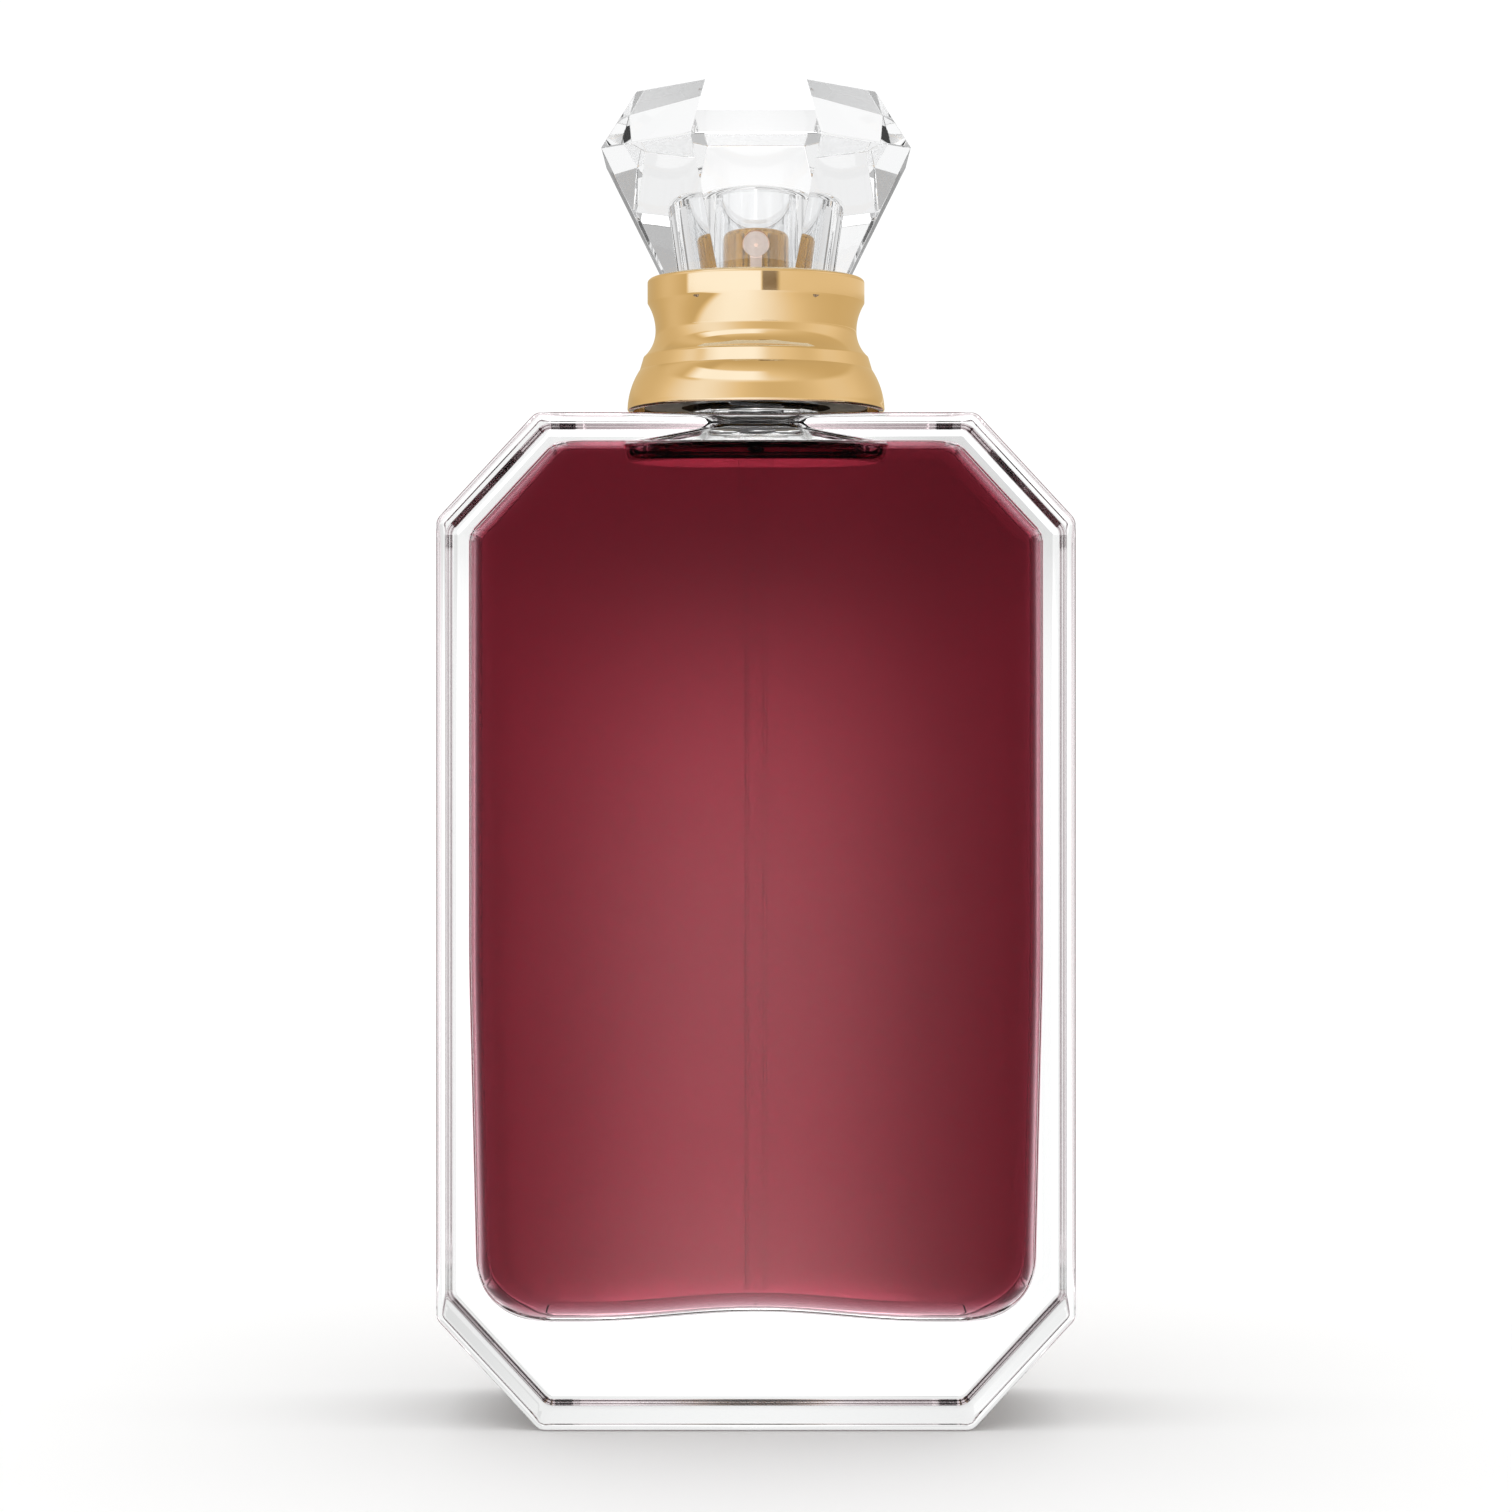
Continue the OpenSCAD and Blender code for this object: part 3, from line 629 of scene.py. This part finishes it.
def perfume():
    """The liquid, which fills the shoulders and leaves a flat bubble of air under the neck."""
    bm = bmesh.new()
    levels = cavity_levels(SKIN, CEILING_Z - 1e-4)
    half_w, half_d, _, _ = levels[-1]
    levels.append((half_w - 0.4, half_d - 0.4, 1.5, CEILING_Z + SKIN))
    walls = [ring_of(bm, rounded_level(*level)) for level in levels]
    bubble = [ring_of(bm, points) for points in bubble_rings()]
    join_all(bm, walls + bubble[:1])
    close_floor(bm, walls[0], levels[0])
    for face in bm.faces:
        face.material_index = 1
    join_all(bm, bubble)
    bm.faces.new(bubble[-1])
    piece = finish_mesh("perfume_liquid", bm, LIQUID, "bottle", ["perfume"])
    piece.data.materials.append(LIQUID_WALL)
    return piece


# ---- Collar ----

FLANGE_R = (COLLAR_HIGH[0] - COLLAR_LOW[0]) / 2
COLLAR_Z = COLLAR_LOW[2]
RING_TOP_Z = COLLAR_HIGH[2]
RING_R = 11.6
RING_Z = 118.0
WAIST_R = 10.75
WAIST_Z = 112.4
WAIST_MID_Z = 115.2
CONE_Z = 110.9
CONE_TOP_R = 12.0
FLANGE_TOP_R = 12.5
OPENING_R = 6.62
LIP_H = 4.0
SHELL_T = 0.6


def arc_radius(sag, run):
    """Radius of an arc that leaves its tangent by a sag over a run."""
    return (sag * sag + run * run) / (2 * sag)


def collar_face(wall):
    """The collar's outline from the flange's foot to the ring's top edge, moved in by a wall."""
    flange_arc = arc_radius(FLANGE_R - FLANGE_TOP_R, CONE_Z - COLLAR_Z)
    low_arc = arc_radius(CONE_TOP_R - WAIST_R, WAIST_MID_Z - WAIST_Z)
    high_arc = arc_radius(RING_R - 0.1 - WAIST_R, RING_Z - WAIST_MID_Z)
    flange_end = degrees(asin((CONE_Z - COLLAR_Z) / flange_arc))
    low_start = 180 + degrees(asin((WAIST_MID_Z - WAIST_Z) / low_arc))
    high_end = 180 - degrees(asin((RING_Z - WAIST_MID_Z) / high_arc))
    points = arc(FLANGE_R - flange_arc, COLLAR_Z, flange_arc - wall, 0, flange_end, 16)
    if not wall:
        foot_r = 0.25
        points = [p for p in points if p[1] > COLLAR_Z + foot_r]
        points = arc(FLANGE_R - foot_r, COLLAR_Z + foot_r, foot_r, -90, 0, 5) + points
    points += [
        (FLANGE_TOP_R - 0.06 - wall, CONE_Z + 0.06),
        (CONE_TOP_R + 0.05 - wall, WAIST_Z - 0.12),
    ]
    points += arc(WAIST_R + low_arc, WAIST_MID_Z, low_arc + wall, low_start, 180, 14)
    points += arc(WAIST_R + high_arc, WAIST_MID_Z, high_arc + wall, 180, high_end, 14)[1:]
    edge = 0.4 if not wall else 0.1
    ring_r, low_z, high_z = RING_R - wall, RING_Z + wall, RING_TOP_Z - wall
    points += [(ring_r, low_z + 0.18)]
    points += arc(ring_r - edge, high_z - edge, edge, 0, 90, 8)
    return points


def collar():
    lip_edge = 0.3
    profile = collar_face(0)
    profile += arc(OPENING_R + lip_edge, RING_TOP_Z - lip_edge, lip_edge, 90, 180, 6)
    profile += [
        (OPENING_R, RING_TOP_Z - LIP_H),
        (OPENING_R + SHELL_T, RING_TOP_Z - LIP_H),
        (OPENING_R + SHELL_T, RING_TOP_Z - SHELL_T),
    ]
    profile += reversed(collar_face(SHELL_T))
    return turned("gold_collar", profile, GOLD, "bottle", ["collar_shell"], 256)


# ---- Button ----

BUTTON_R = (JACKET_HIGH[0] - JACKET_LOW[0]) / 2
BUTTON_Z = JACKET_LOW[2]
BUTTON_TOP_Z = JACKET_HIGH[2]
JACKET_T = 0.35
NOZZLE_R = 1.45
NOZZLE_Z = BUTTON_TOP_Z - 1.95
KEYHOLE_R = NOZZLE_R + 0.03
KEYWAY_W = 1.3


def button_jacket():
    edge, chamfer = 0.8, 0.1
    inner_r, inner_top = BUTTON_R - JACKET_T, BUTTON_TOP_Z - JACKET_T
    profile = [(BUTTON_R - chamfer, BUTTON_Z), (BUTTON_R, BUTTON_Z + chamfer)]
    profile += arc(BUTTON_R - edge, BUTTON_TOP_Z - edge, edge, 0, 90, 10)
    profile += [(0, BUTTON_TOP_Z), (0, inner_top)]
    profile += arc(inner_r - edge, inner_top - edge, edge, 90, 0, 10)
    profile += [(inner_r, BUTTON_Z)]
    piece = turned(
        "button_jacket", profile, BUTTON_GOLD, "button", ["actuator_shell"], 256
    )
    carve(piece, keyhole())
    return piece


def keyhole():
    """The cut through the jacket's front for the nozzle, with the keyway below it."""
    front_y, low_z = -8, BUTTON_Z - 1
    gap = asin(KEYWAY_W / 2 / KEYHOLE_R)
    start, end = -pi / 2 + gap, 3 * pi / 2 - gap
    steps = 48
    angles = [start + (end - start) * i / steps for i in range(steps + 1)]
    points = [(KEYHOLE_R * cos(a), NOZZLE_Z + KEYHOLE_R * sin(a)) for a in angles]
    points += [(-KEYWAY_W / 2, low_z), (KEYWAY_W / 2, low_z)]
    bm = bmesh.new()
    face = bm.faces.new(ring_of(bm, [(x * MM, front_y * MM, z * MM) for x, z in points]))
    deep = bmesh.ops.extrude_face_region(bm, geom=[face])
    moved = [v for v in deep["geom"] if isinstance(v, bmesh.types.BMVert)]
    bmesh.ops.translate(bm, verts=moved, vec=(0, -front_y * MM, 0))
    bmesh.ops.recalc_face_normals(bm, faces=bm.faces)
    mesh = bpy.data.meshes.new("keyhole")
    bm.to_mesh(mesh)
    bm.free()
    return mesh


def carve(piece, cut_mesh):
    """Cuts a shape out of a piece and keeps the result as its mesh."""
    tool = bpy.data.objects.new("cutter", cut_mesh)
    bpy.context.scene.collection.objects.link(tool)
    cut = piece.modifiers.new("cut", "BOOLEAN")
    cut.operation = "DIFFERENCE"
    cut.solver = "EXACT"
    cut.object = tool
    weighted = piece.modifiers["flat_faces"]
    weighted.show_viewport = False
    depsgraph = bpy.context.evaluated_depsgraph_get()
    mesh = bpy.data.meshes.new_from_object(piece.evaluated_get(depsgraph))
    piece.modifiers.remove(cut)
    weighted.show_viewport = True
    piece.data = mesh
    shade_smooth(mesh, SHARP_ANGLE)
    bpy.data.objects.remove(tool, do_unlink=True)


def nozzle():
    """Nozzle insert: a dished face with a rounded rim and the spray hole."""
    face_y = NOZZLE_LOW[1]
    hole_r, dish_r, swirl_r = 0.22, 0.62, 0.9
    side_r = NOZZLE_R - 0.01
    hole_end, length = 0.75, 2.1
    profile = [  # radius and depth behind the face
        (hole_r, hole_end), (hole_r, 0.34), (dish_r, 0.12), (dish_r + 0.1, 0.06),
        (NOZZLE_R - 0.28, 0.06), (NOZZLE_R - 0.2, 0.0), (NOZZLE_R - 0.08, 0.0),
        (side_r, 0.08), (side_r, length), (swirl_r, length), (swirl_r, hole_end),
    ]
    bm = bmesh.new()
    lathe(bm, profile, 96)
    for v in bm.verts:
        x, y, z = v.co
        v.co = (x, face_y + z, NOZZLE_Z + y)
    return finish_mesh("nozzle", bm, CREAM_PLASTIC, "button", ["spray_insert"])


# ---- Cap ----

FOOT_Z = GEM_LOW[2]
GIRDLE_Z = 133.8
TABLE_Z = GEM_HIGH[2]
GIRDLE_HALF = (GEM_HIGH[1] - GEM_LOW[1]) / 2
TABLE_HALF = 12.6
FOOT_HALF = 9.9
CAP_BORE_R = 6.6
CAP_CEILING_Z = SLEEVE_HIGH[2]


def octagon(bm, half, z):
    """Eight corners with a flat side to the front, half being the distance to a side."""
    reach = half / cos(pi / 8)
    return [
        bm.verts.new((reach * cos(pi / 8 + pi / 4 * i), reach * sin(pi / 8 + pi / 4 * i), z))
        for i in range(8)
    ]


def gem():
    bm = bmesh.new()
    foot, girdle, table = (
        octagon(bm, FOOT_HALF, FOOT_Z),
        octagon(bm, GIRDLE_HALF, GIRDLE_Z),
        octagon(bm, TABLE_HALF, TABLE_Z),
    )
    join_rings(bm, foot, girdle)
    join_rings(bm, girdle, table)
    bm.faces.new(table)
    edges = [e for e in bm.edges if not e.is_boundary]
    bmesh.ops.bevel(
        bm, geom=edges, offset=0.09, segments=2, profile=0.5, affect="EDGES", clamp_overlap=True
    )
    loop = ordered_loop([e for e in bm.edges if e.is_boundary])
    fillet = 1.0
    bore = [(CAP_BORE_R, FOOT_Z), (CAP_BORE_R, CAP_CEILING_Z - fillet)]
    bore += arc(CAP_BORE_R - fillet, CAP_CEILING_Z - fillet, fillet, 0, 90, 8)[1:]
    rings = [circle_ring(bm, r, z, 192) for r, z in bore]
    join_all(bm, rings)
    close_ring(bm, rings[-1], bm.verts.new((0, 0, CAP_CEILING_Z)))
    fill_with_hole(bm, loop, rings[0])
    for face in bm.faces:
        if max(v.co.z for v in face.verts) < FOOT_Z + 0.01:
            face.material_index = 1
    piece = finish_mesh("gem_cap_clear", bm, CRYSTAL, "cap", ["gem_cap"], 12)
    piece.data.materials.append(SATIN_FOOT)
    return piece


def ordered_loop(edges):
    """The points of a closed run of edges, in order."""
    left = list(edges)
    edge = left.pop(0)
    loop = [edge.verts[0], edge.verts[1]]
    while left:
        edge = next(e for e in left if loop[-1] in e.verts)
        left.remove(edge)
        loop.append(edge.other_vert(loop[-1]))
    return loop[:-1]


def sleeve():
    out_r = (SLEEVE_HIGH[0] - SLEEVE_LOW[0]) / 2
    in_r = out_r - 0.75
    foot_z, top_z = SLEEVE_LOW[2], SLEEVE_HIGH[2] - 0.3
    points = [
        (in_r, foot_z), (out_r, foot_z), (out_r, top_z - 0.6), (out_r - 0.5, top_z), (in_r, top_z),
    ]
    profile = filleted(points, [0.15, 0.25, 0.3, 0.2, 0.2], 4, closed=True)
    return turned("cap_sleeve", profile, SLEEVE_CLEAR, "cap", ["cap_insert"], 192)


# ---- Pump ----


def dip_tube():
    radius = (TUBE_HIGH[0] - TUBE_LOW[0]) / 2
    inner = radius - 0.4
    low_z, high_z = TUBE_LOW[2], TUBE_HIGH[2]
    profile = [(inner, low_z), (radius, low_z + 0.2), (radius, high_z), (inner, high_z)]
    return turned(
        "clear_dip_tube", profile, DIPPED_CLEAR, "bottle", ["dip_tube"], 96
    )


def return_spring():
    """The coil as a swept wire with closed ends."""
    wire_r, coil_r, turns, stroke = 0.2, 1.9, 5, 3.6
    low_z, high_z = SPRING_LOW[2] + wire_r, SPRING_HIGH[2] - wire_r
    sides, steps = 12, turns * 40
    bm = bmesh.new()
    rings = []
    for i in range(steps + 1):
        turn = 2 * pi * turns * i / steps
        share = min(max((i / steps * (turns + 2) - 1) / turns, 0), 1)
        z = low_z + (high_z - low_z) * share
        ring = []
        for k in range(sides):
            a = 2 * pi * k / sides
            out, up = wire_r * cos(a), wire_r * sin(a)
            ring.append(((coil_r + out) * cos(turn), (coil_r + out) * sin(turn), z + up))
        rings.append(ring_of(bm, ring))
    join_all(bm, rings)
    bm.faces.new(rings[0])
    bm.faces.new(rings[-1])
    piece = finish_mesh("pump_spring", bm, STEEL, "bottle", ["return_spring"], 60)
    piece.modifiers.remove(piece.modifiers["flat_faces"])
    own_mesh(piece)
    return piece


def dress_cad_nodes():
    """Gives the inner pieces that keep their CAD shape a finish of their own."""
    finishes = {
        "neck_gasket": RUBBER,
        "stem_seal": RUBBER,
        "crimp_ferrule": BUTTON_GOLD,
        "collar_liner": DARK_PLASTIC,
        "pump_turret": WHITE_PLASTIC,
        "pump_housing": DIPPED_CLEAR,
        "inlet_ball": STEEL,
        "valve_stem": WHITE_PLASTIC,
        "piston": WHITE_PLASTIC,
        "spring_seat": WHITE_PLASTIC,
        "actuator_core": CREAM_PLASTIC,
    }
    for name, material in finishes.items():
        node = bpy.data.objects[name]
        node.data.materials.clear()
        node.data.materials.append(material)


# ---- Studio ----


def camera():
    """A level view from straight in front, half way up the bottle."""
    data = bpy.data.cameras.new("camera")
    data.lens = 90.5
    data.sensor_width = 36.0
    data.clip_start = 0.01
    data.dof.use_dof = False
    distance, height = 0.4066, 0.0698
    eye = bpy.data.objects.new("camera", data)
    eye.location = (0, -distance, height)
    eye.rotation_euler = (pi / 2, 0, 0)
    bpy.context.scene.collection.objects.link(eye)
    bpy.context.scene.camera = eye


def floor():
    """A pale floor for the camera and soft light; mirrored and refracted rays see the studio."""
    bm = bmesh.new()
    half = 20  # metres
    corners = ((-half, -half), (half, -half), (half, half), (-half, half))
    bm.faces.new(ring_of(bm, [(x, y, 0) for x, y in corners]))
    mesh = bpy.data.meshes.new("floor")
    bm.to_mesh(mesh)
    bm.free()
    material, tree, shader, output = node_tree("pale_floor")
    grain = noise(tree, 3)
    tree.links.new(
        two_tone(tree, grain.outputs["Fac"], (0.95, 0.95, 0.95), (0.97, 0.97, 0.97)),
        shader.inputs["Base Color"],
    )
    shader.inputs["Roughness"].default_value = 0.9
    shader.inputs["Specular IOR Level"].default_value = 0.1
    path = add(tree, "ShaderNodeLightPath")
    sharp = add(tree, "ShaderNodeMath", operation="MAXIMUM")
    tree.links.new(path.outputs["Is Glossy Ray"], sharp.inputs[0])
    tree.links.new(path.outputs["Is Transmission Ray"], sharp.inputs[1])
    clear = add(tree, "ShaderNodeBsdfTransparent")
    choose = add(tree, "ShaderNodeMixShader")
    tree.links.new(sharp.outputs[0], choose.inputs["Fac"])
    tree.links.new(shader.outputs[0], choose.inputs[1])
    tree.links.new(clear.outputs[0], choose.inputs[2])
    tree.links.new(choose.outputs[0], output.inputs["Surface"])
    mesh.materials.append(material)
    plane = bpy.data.objects.new("floor", mesh)
    bpy.context.scene.collection.objects.link(plane)


class Sky:
    """The studio as a function of direction, all in degrees: around is 0 in front of the bottle
    and positive to the right, behind is 0 at the back of it, and up is the elevation."""

    def __init__(self):
        world = bpy.data.worlds.new("studio")
        bpy.context.scene.world = world
        world.use_nodes = True
        world.cycles.sampling_method = "NONE"
        self.tree = world.node_tree
        self.tree.nodes.clear()
        coords = add(self.tree, "ShaderNodeTexCoord")
        split = add(self.tree, "ShaderNodeSeparateXYZ")
        self.tree.links.new(coords.outputs["Generated"], split.inputs[0])
        x, y, z = split.outputs
        in_degrees = 180 / pi
        self.around = self.times(self.math("ARCTAN2", x, self.times(y, -1.0)), in_degrees)
        self.behind = self.times(self.math("ARCTAN2", x, y), in_degrees)
        self.up = self.times(self.math("ARCSINE", z), in_degrees)

    def math(self, operation, a, b=None):
        node = add(self.tree, "ShaderNodeMath", operation=operation)
        for socket, value in zip(node.inputs, (a, b)):
            if value is None:
                continue
            if isinstance(value, (int, float)):
                socket.default_value = value
            else:
                self.tree.links.new(value, socket)
        return node.outputs[0]

    def plus(self, a, b):
        return self.math("ADD", a, b)

    def minus(self, a, b):
        return self.math("SUBTRACT", a, b)

    def times(self, a, b):
        return self.math("MULTIPLY", a, b)

    def step(self, value, low, high):
        """0 at low, 1 at high, smooth between them; low may be above high."""
        node = add(self.tree, "ShaderNodeMapRange", interpolation_type="SMOOTHSTEP")
        node.inputs["From Min"].default_value = min(low, high)
        node.inputs["From Max"].default_value = max(low, high)
        node.inputs["To Min"].default_value = 0.0 if low < high else 1.0
        node.inputs["To Max"].default_value = 1.0 if low < high else 0.0
        self.tree.links.new(value, node.inputs["Value"])
        return node.outputs["Result"]

    def band(self, value, low, high, soft):
        """1 between low and high, 0 outside, with soft edges."""
        return self.times(
            self.step(value, low - soft / 2, low + soft / 2),
            self.step(value, high + soft / 2, high - soft / 2),
        )

    def mix(self, base, amount, level):
        """base where amount is 0, level where it is 1."""
        return self.plus(self.times(base, self.minus(1.0, amount)), self.times(amount, level))

    def bell(self, value, centre, width):
        """1 at the centre, falling off on both sides, width being its standard deviation."""
        offset = self.math("DIVIDE", self.minus(value, centre), width)
        return self.math("EXPONENT", self.times(self.times(offset, offset), -0.5))

    def ramp(self, level, stops):
        """Colours along a level from 0 to 1."""
        node = add(self.tree, "ShaderNodeValToRGB")
        elements = node.color_ramp.elements
        while len(elements) < len(stops):
            elements.new(0.5)
        for element, (position, colour) in zip(elements, stops):
            element.position = position
            element.color = (*colour, 1)
        self.tree.links.new(level, node.inputs["Fac"])
        return node.outputs["Color"]

    def light(self, colour, strength):
        """A background shader, its colour a socket or three numbers."""
        background = add(self.tree, "ShaderNodeBackground")
        if isinstance(colour, tuple):
            background.inputs["Color"].default_value = (*colour, 1)
        else:
            self.tree.links.new(colour, background.inputs["Color"])
        background.inputs["Strength"].default_value = strength
        return background.outputs[0]

    def pick(self, base, amount, other):
        """The base shader where amount is 0, the other where it is 1."""
        node = add(self.tree, "ShaderNodeMixShader")
        for socket, value in zip(node.inputs, (amount, base, other)):
            self.tree.links.new(value, socket)
        return node.outputs[0]


def front_glow(sky):
    """The soft light low in front that a flat front face mirrors."""
    across = sky.bell(sky.around, -0.2, 1.9)
    middle = sky.times(sky.step(sky.up, 4.6, -3.6), 1.25)
    foot = sky.times(sky.step(sky.up, -5.5, -9.0), 0.75)
    return sky.times(across, sky.plus(middle, foot))


def side_cards(sky, level):
    """Two dark cards upright at each side of the backdrop."""
    for side in (-1, 1):
        for place, width, shade in ((38, 8, 0.3), (75, 14, 0.12)):
            low, high = side * place - width / 2, side * place + width / 2
            card = sky.times(sky.band(sky.behind, low, high, 3), sky.band(sky.up, -50, 50, 10))
            level = sky.mix(level, card, shade)
    return level


def back_patch(sky):
    """Extra light in a narrow strip straight behind, which makes the liquid's middle glow red."""
    patch = sky.times(sky.step(sky.up, 3.4, -0.6), 1.1)
    patch = sky.plus(patch, sky.times(sky.step(sky.up, -3, -8), 0.2))
    strip = sky.times(sky.bell(sky.behind, -0.3, 1.9), sky.step(sky.up, -34.5, -33))
    return sky.times(patch, strip)


def seen_through(sky):
    """What refracted rays see: white behind, greyer sides and front, dark cards between them."""
    # white, a little greyer from just above the horizon and greyer still high up
    level = sky.plus(1.0, sky.times(sky.step(sky.up, 5, 60), -0.16))
    level = sky.minus(level, sky.times(sky.step(sky.up, 5.8, 6.4), 0.1))

    # in front: grey, near white up on the left, dark up on the right, nearly black lower down
    front = sky.times(sky.step(sky.around, -75, -60), sky.step(sky.around, 75, 60))
    level = sky.mix(level, front, 0.5)
    high_left = sky.times(sky.band(sky.around, -55, -4, 8), sky.step(sky.up, 6, 8))
    level = sky.mix(level, high_left, 0.97)
    high_right = sky.times(sky.band(sky.around, 4, 20, 4), sky.band(sky.up, 8, 40, 3))
    level = sky.mix(level, high_right, 0.12)
    low_front = sky.times(sky.band(sky.around, -12, 12, 4), sky.band(sky.up, -14, 2, 2))
    level = sky.mix(level, low_front, 0.02)
    level = sky.plus(level, front_glow(sky))

    # behind: a bright backdrop, less so above the horizon and on the right
    back = sky.times(sky.band(sky.behind, -16, 16, 6), sky.band(sky.up, -34, 6, 1))
    backdrop = sky.minus(1.16, sky.times(sky.step(sky.up, 1, 4), 0.24))
    level = side_cards(sky, sky.mix(level, back, backdrop))
    right = sky.times(back, sky.times(sky.step(sky.behind, 0.8, 3.0), 0.16))
    return sky.plus(sky.minus(level, right), back_patch(sky))


def glass_mirrors(sky):
    """What the faces of the glass mirror: grey, lighter high up, nearly black low in front."""
    level = sky.plus(0.35, sky.times(sky.step(sky.up, 20, 60), 0.5))
    low_front = sky.times(sky.band(sky.around, -14, 14, 6), sky.band(sky.up, -16, 8, 3))
    return sky.plus(sky.mix(level, low_front, 0.02), front_glow(sky))


def metal_mirrors(sky):
    """What the gold mirrors, from 0, dark brown, to 1, nearly white."""
    level = sky.plus(0.36, sky.times(sky.bell(sky.around, -105, 16), 0.12))

    # wide soft light in front, brightest left of the middle, with a slanting edge far left
    lean = sky.times(sky.math("ABSOLUTE", sky.minus(sky.up, 6.6)), 0.4)
    left = sky.step(sky.minus(sky.around, lean), -80, -64)
    glow = sky.plus(0.4, sky.times(sky.bell(sky.around, -26, 44), 0.58))
    level = sky.mix(level, sky.times(left, sky.step(sky.up, 70, 20)), glow)

    # a band round the studio above it, with a bright card and a dark one higher up
    rim = sky.plus(0.42, sky.times(sky.bell(sky.around, -53, 26), 0.4))
    rim = sky.plus(rim, sky.times(sky.bell(sky.around, 84, 26), 0.16))
    level = sky.mix(level, sky.band(sky.up, 10, 34, 6), rim)
    bright = sky.times(sky.band(sky.around, -74, 6, 24), sky.band(sky.up, 36, 50, 3))
    level = sky.mix(level, bright, 1.0)
    dark = sky.times(sky.band(sky.around, 8, 110, 12), sky.band(sky.up, 74, 94, 4))
    level = sky.mix(level, dark, 0.1)

    # a thin low line of bars, which the collar's upright ring mirrors: bright, dark, mid gold
    ring = sky.band(sky.up, 6.9, 7.4, 0.06)
    for low, high, bar in ((-80, -74, 1.0), (4, 8, 0.02), (20, 27, 0.54)):
        level = sky.mix(level, sky.times(ring, sky.step(sky.around, low, high)), bar)
    return sky.ramp(level, (
        (0.0, (0.082, 0.046, 0.016)), (0.4, (0.46, 0.36, 0.21)),
        (0.55, (0.585, 0.487, 0.345)), (1.0, (0.775, 0.82, 0.95)),
    ))


def studio():
    """One sky for each kind of ray, a later pick winning over the ones before it."""
    sky = Sky()
    white = (1.0, 1.0, 1.0)
    path = add(sky.tree, "ShaderNodeLightPath").outputs
    rough = sky.minus(1.0, path["Is Singular Ray"])
    metal_ray = sky.times(path["Is Glossy Ray"], rough)
    shade = sky.light(glass_mirrors(sky), 1.0)
    shade = sky.pick(shade, metal_ray, sky.light(metal_mirrors(sky), 1.5))
    shade = sky.pick(shade, path["Is Transmission Ray"], sky.light(seen_through(sky), 1.0))
    shade = sky.pick(shade, path["Is Diffuse Ray"], sky.light(white, 1.14))
    shade = sky.pick(shade, path["Is Camera Ray"], sky.light(white, 1.05))
    output = add(sky.tree, "ShaderNodeOutputWorld")
    sky.tree.links.new(shade, output.inputs["Surface"])


flask()
perfume()
collar()
button_jacket()
nozzle()
gem()
sleeve()
dip_tube()
return_spring()
dress_cad_nodes()
floor()
camera()
studio()

scene = bpy.context.scene
scene.view_settings.view_transform = "Standard"
scene.cycles.max_bounces = 24
scene.cycles.transmission_bounces = 24
scene.cycles.glossy_bounces = 12
scene.cycles.transparent_max_bounces = 12
scene.cycles.caustics_reflective = True
scene.cycles.caustics_refractive = True
scene.cycles.sample_clamp_indirect = 8.0
scene.cycles.use_denoising = True
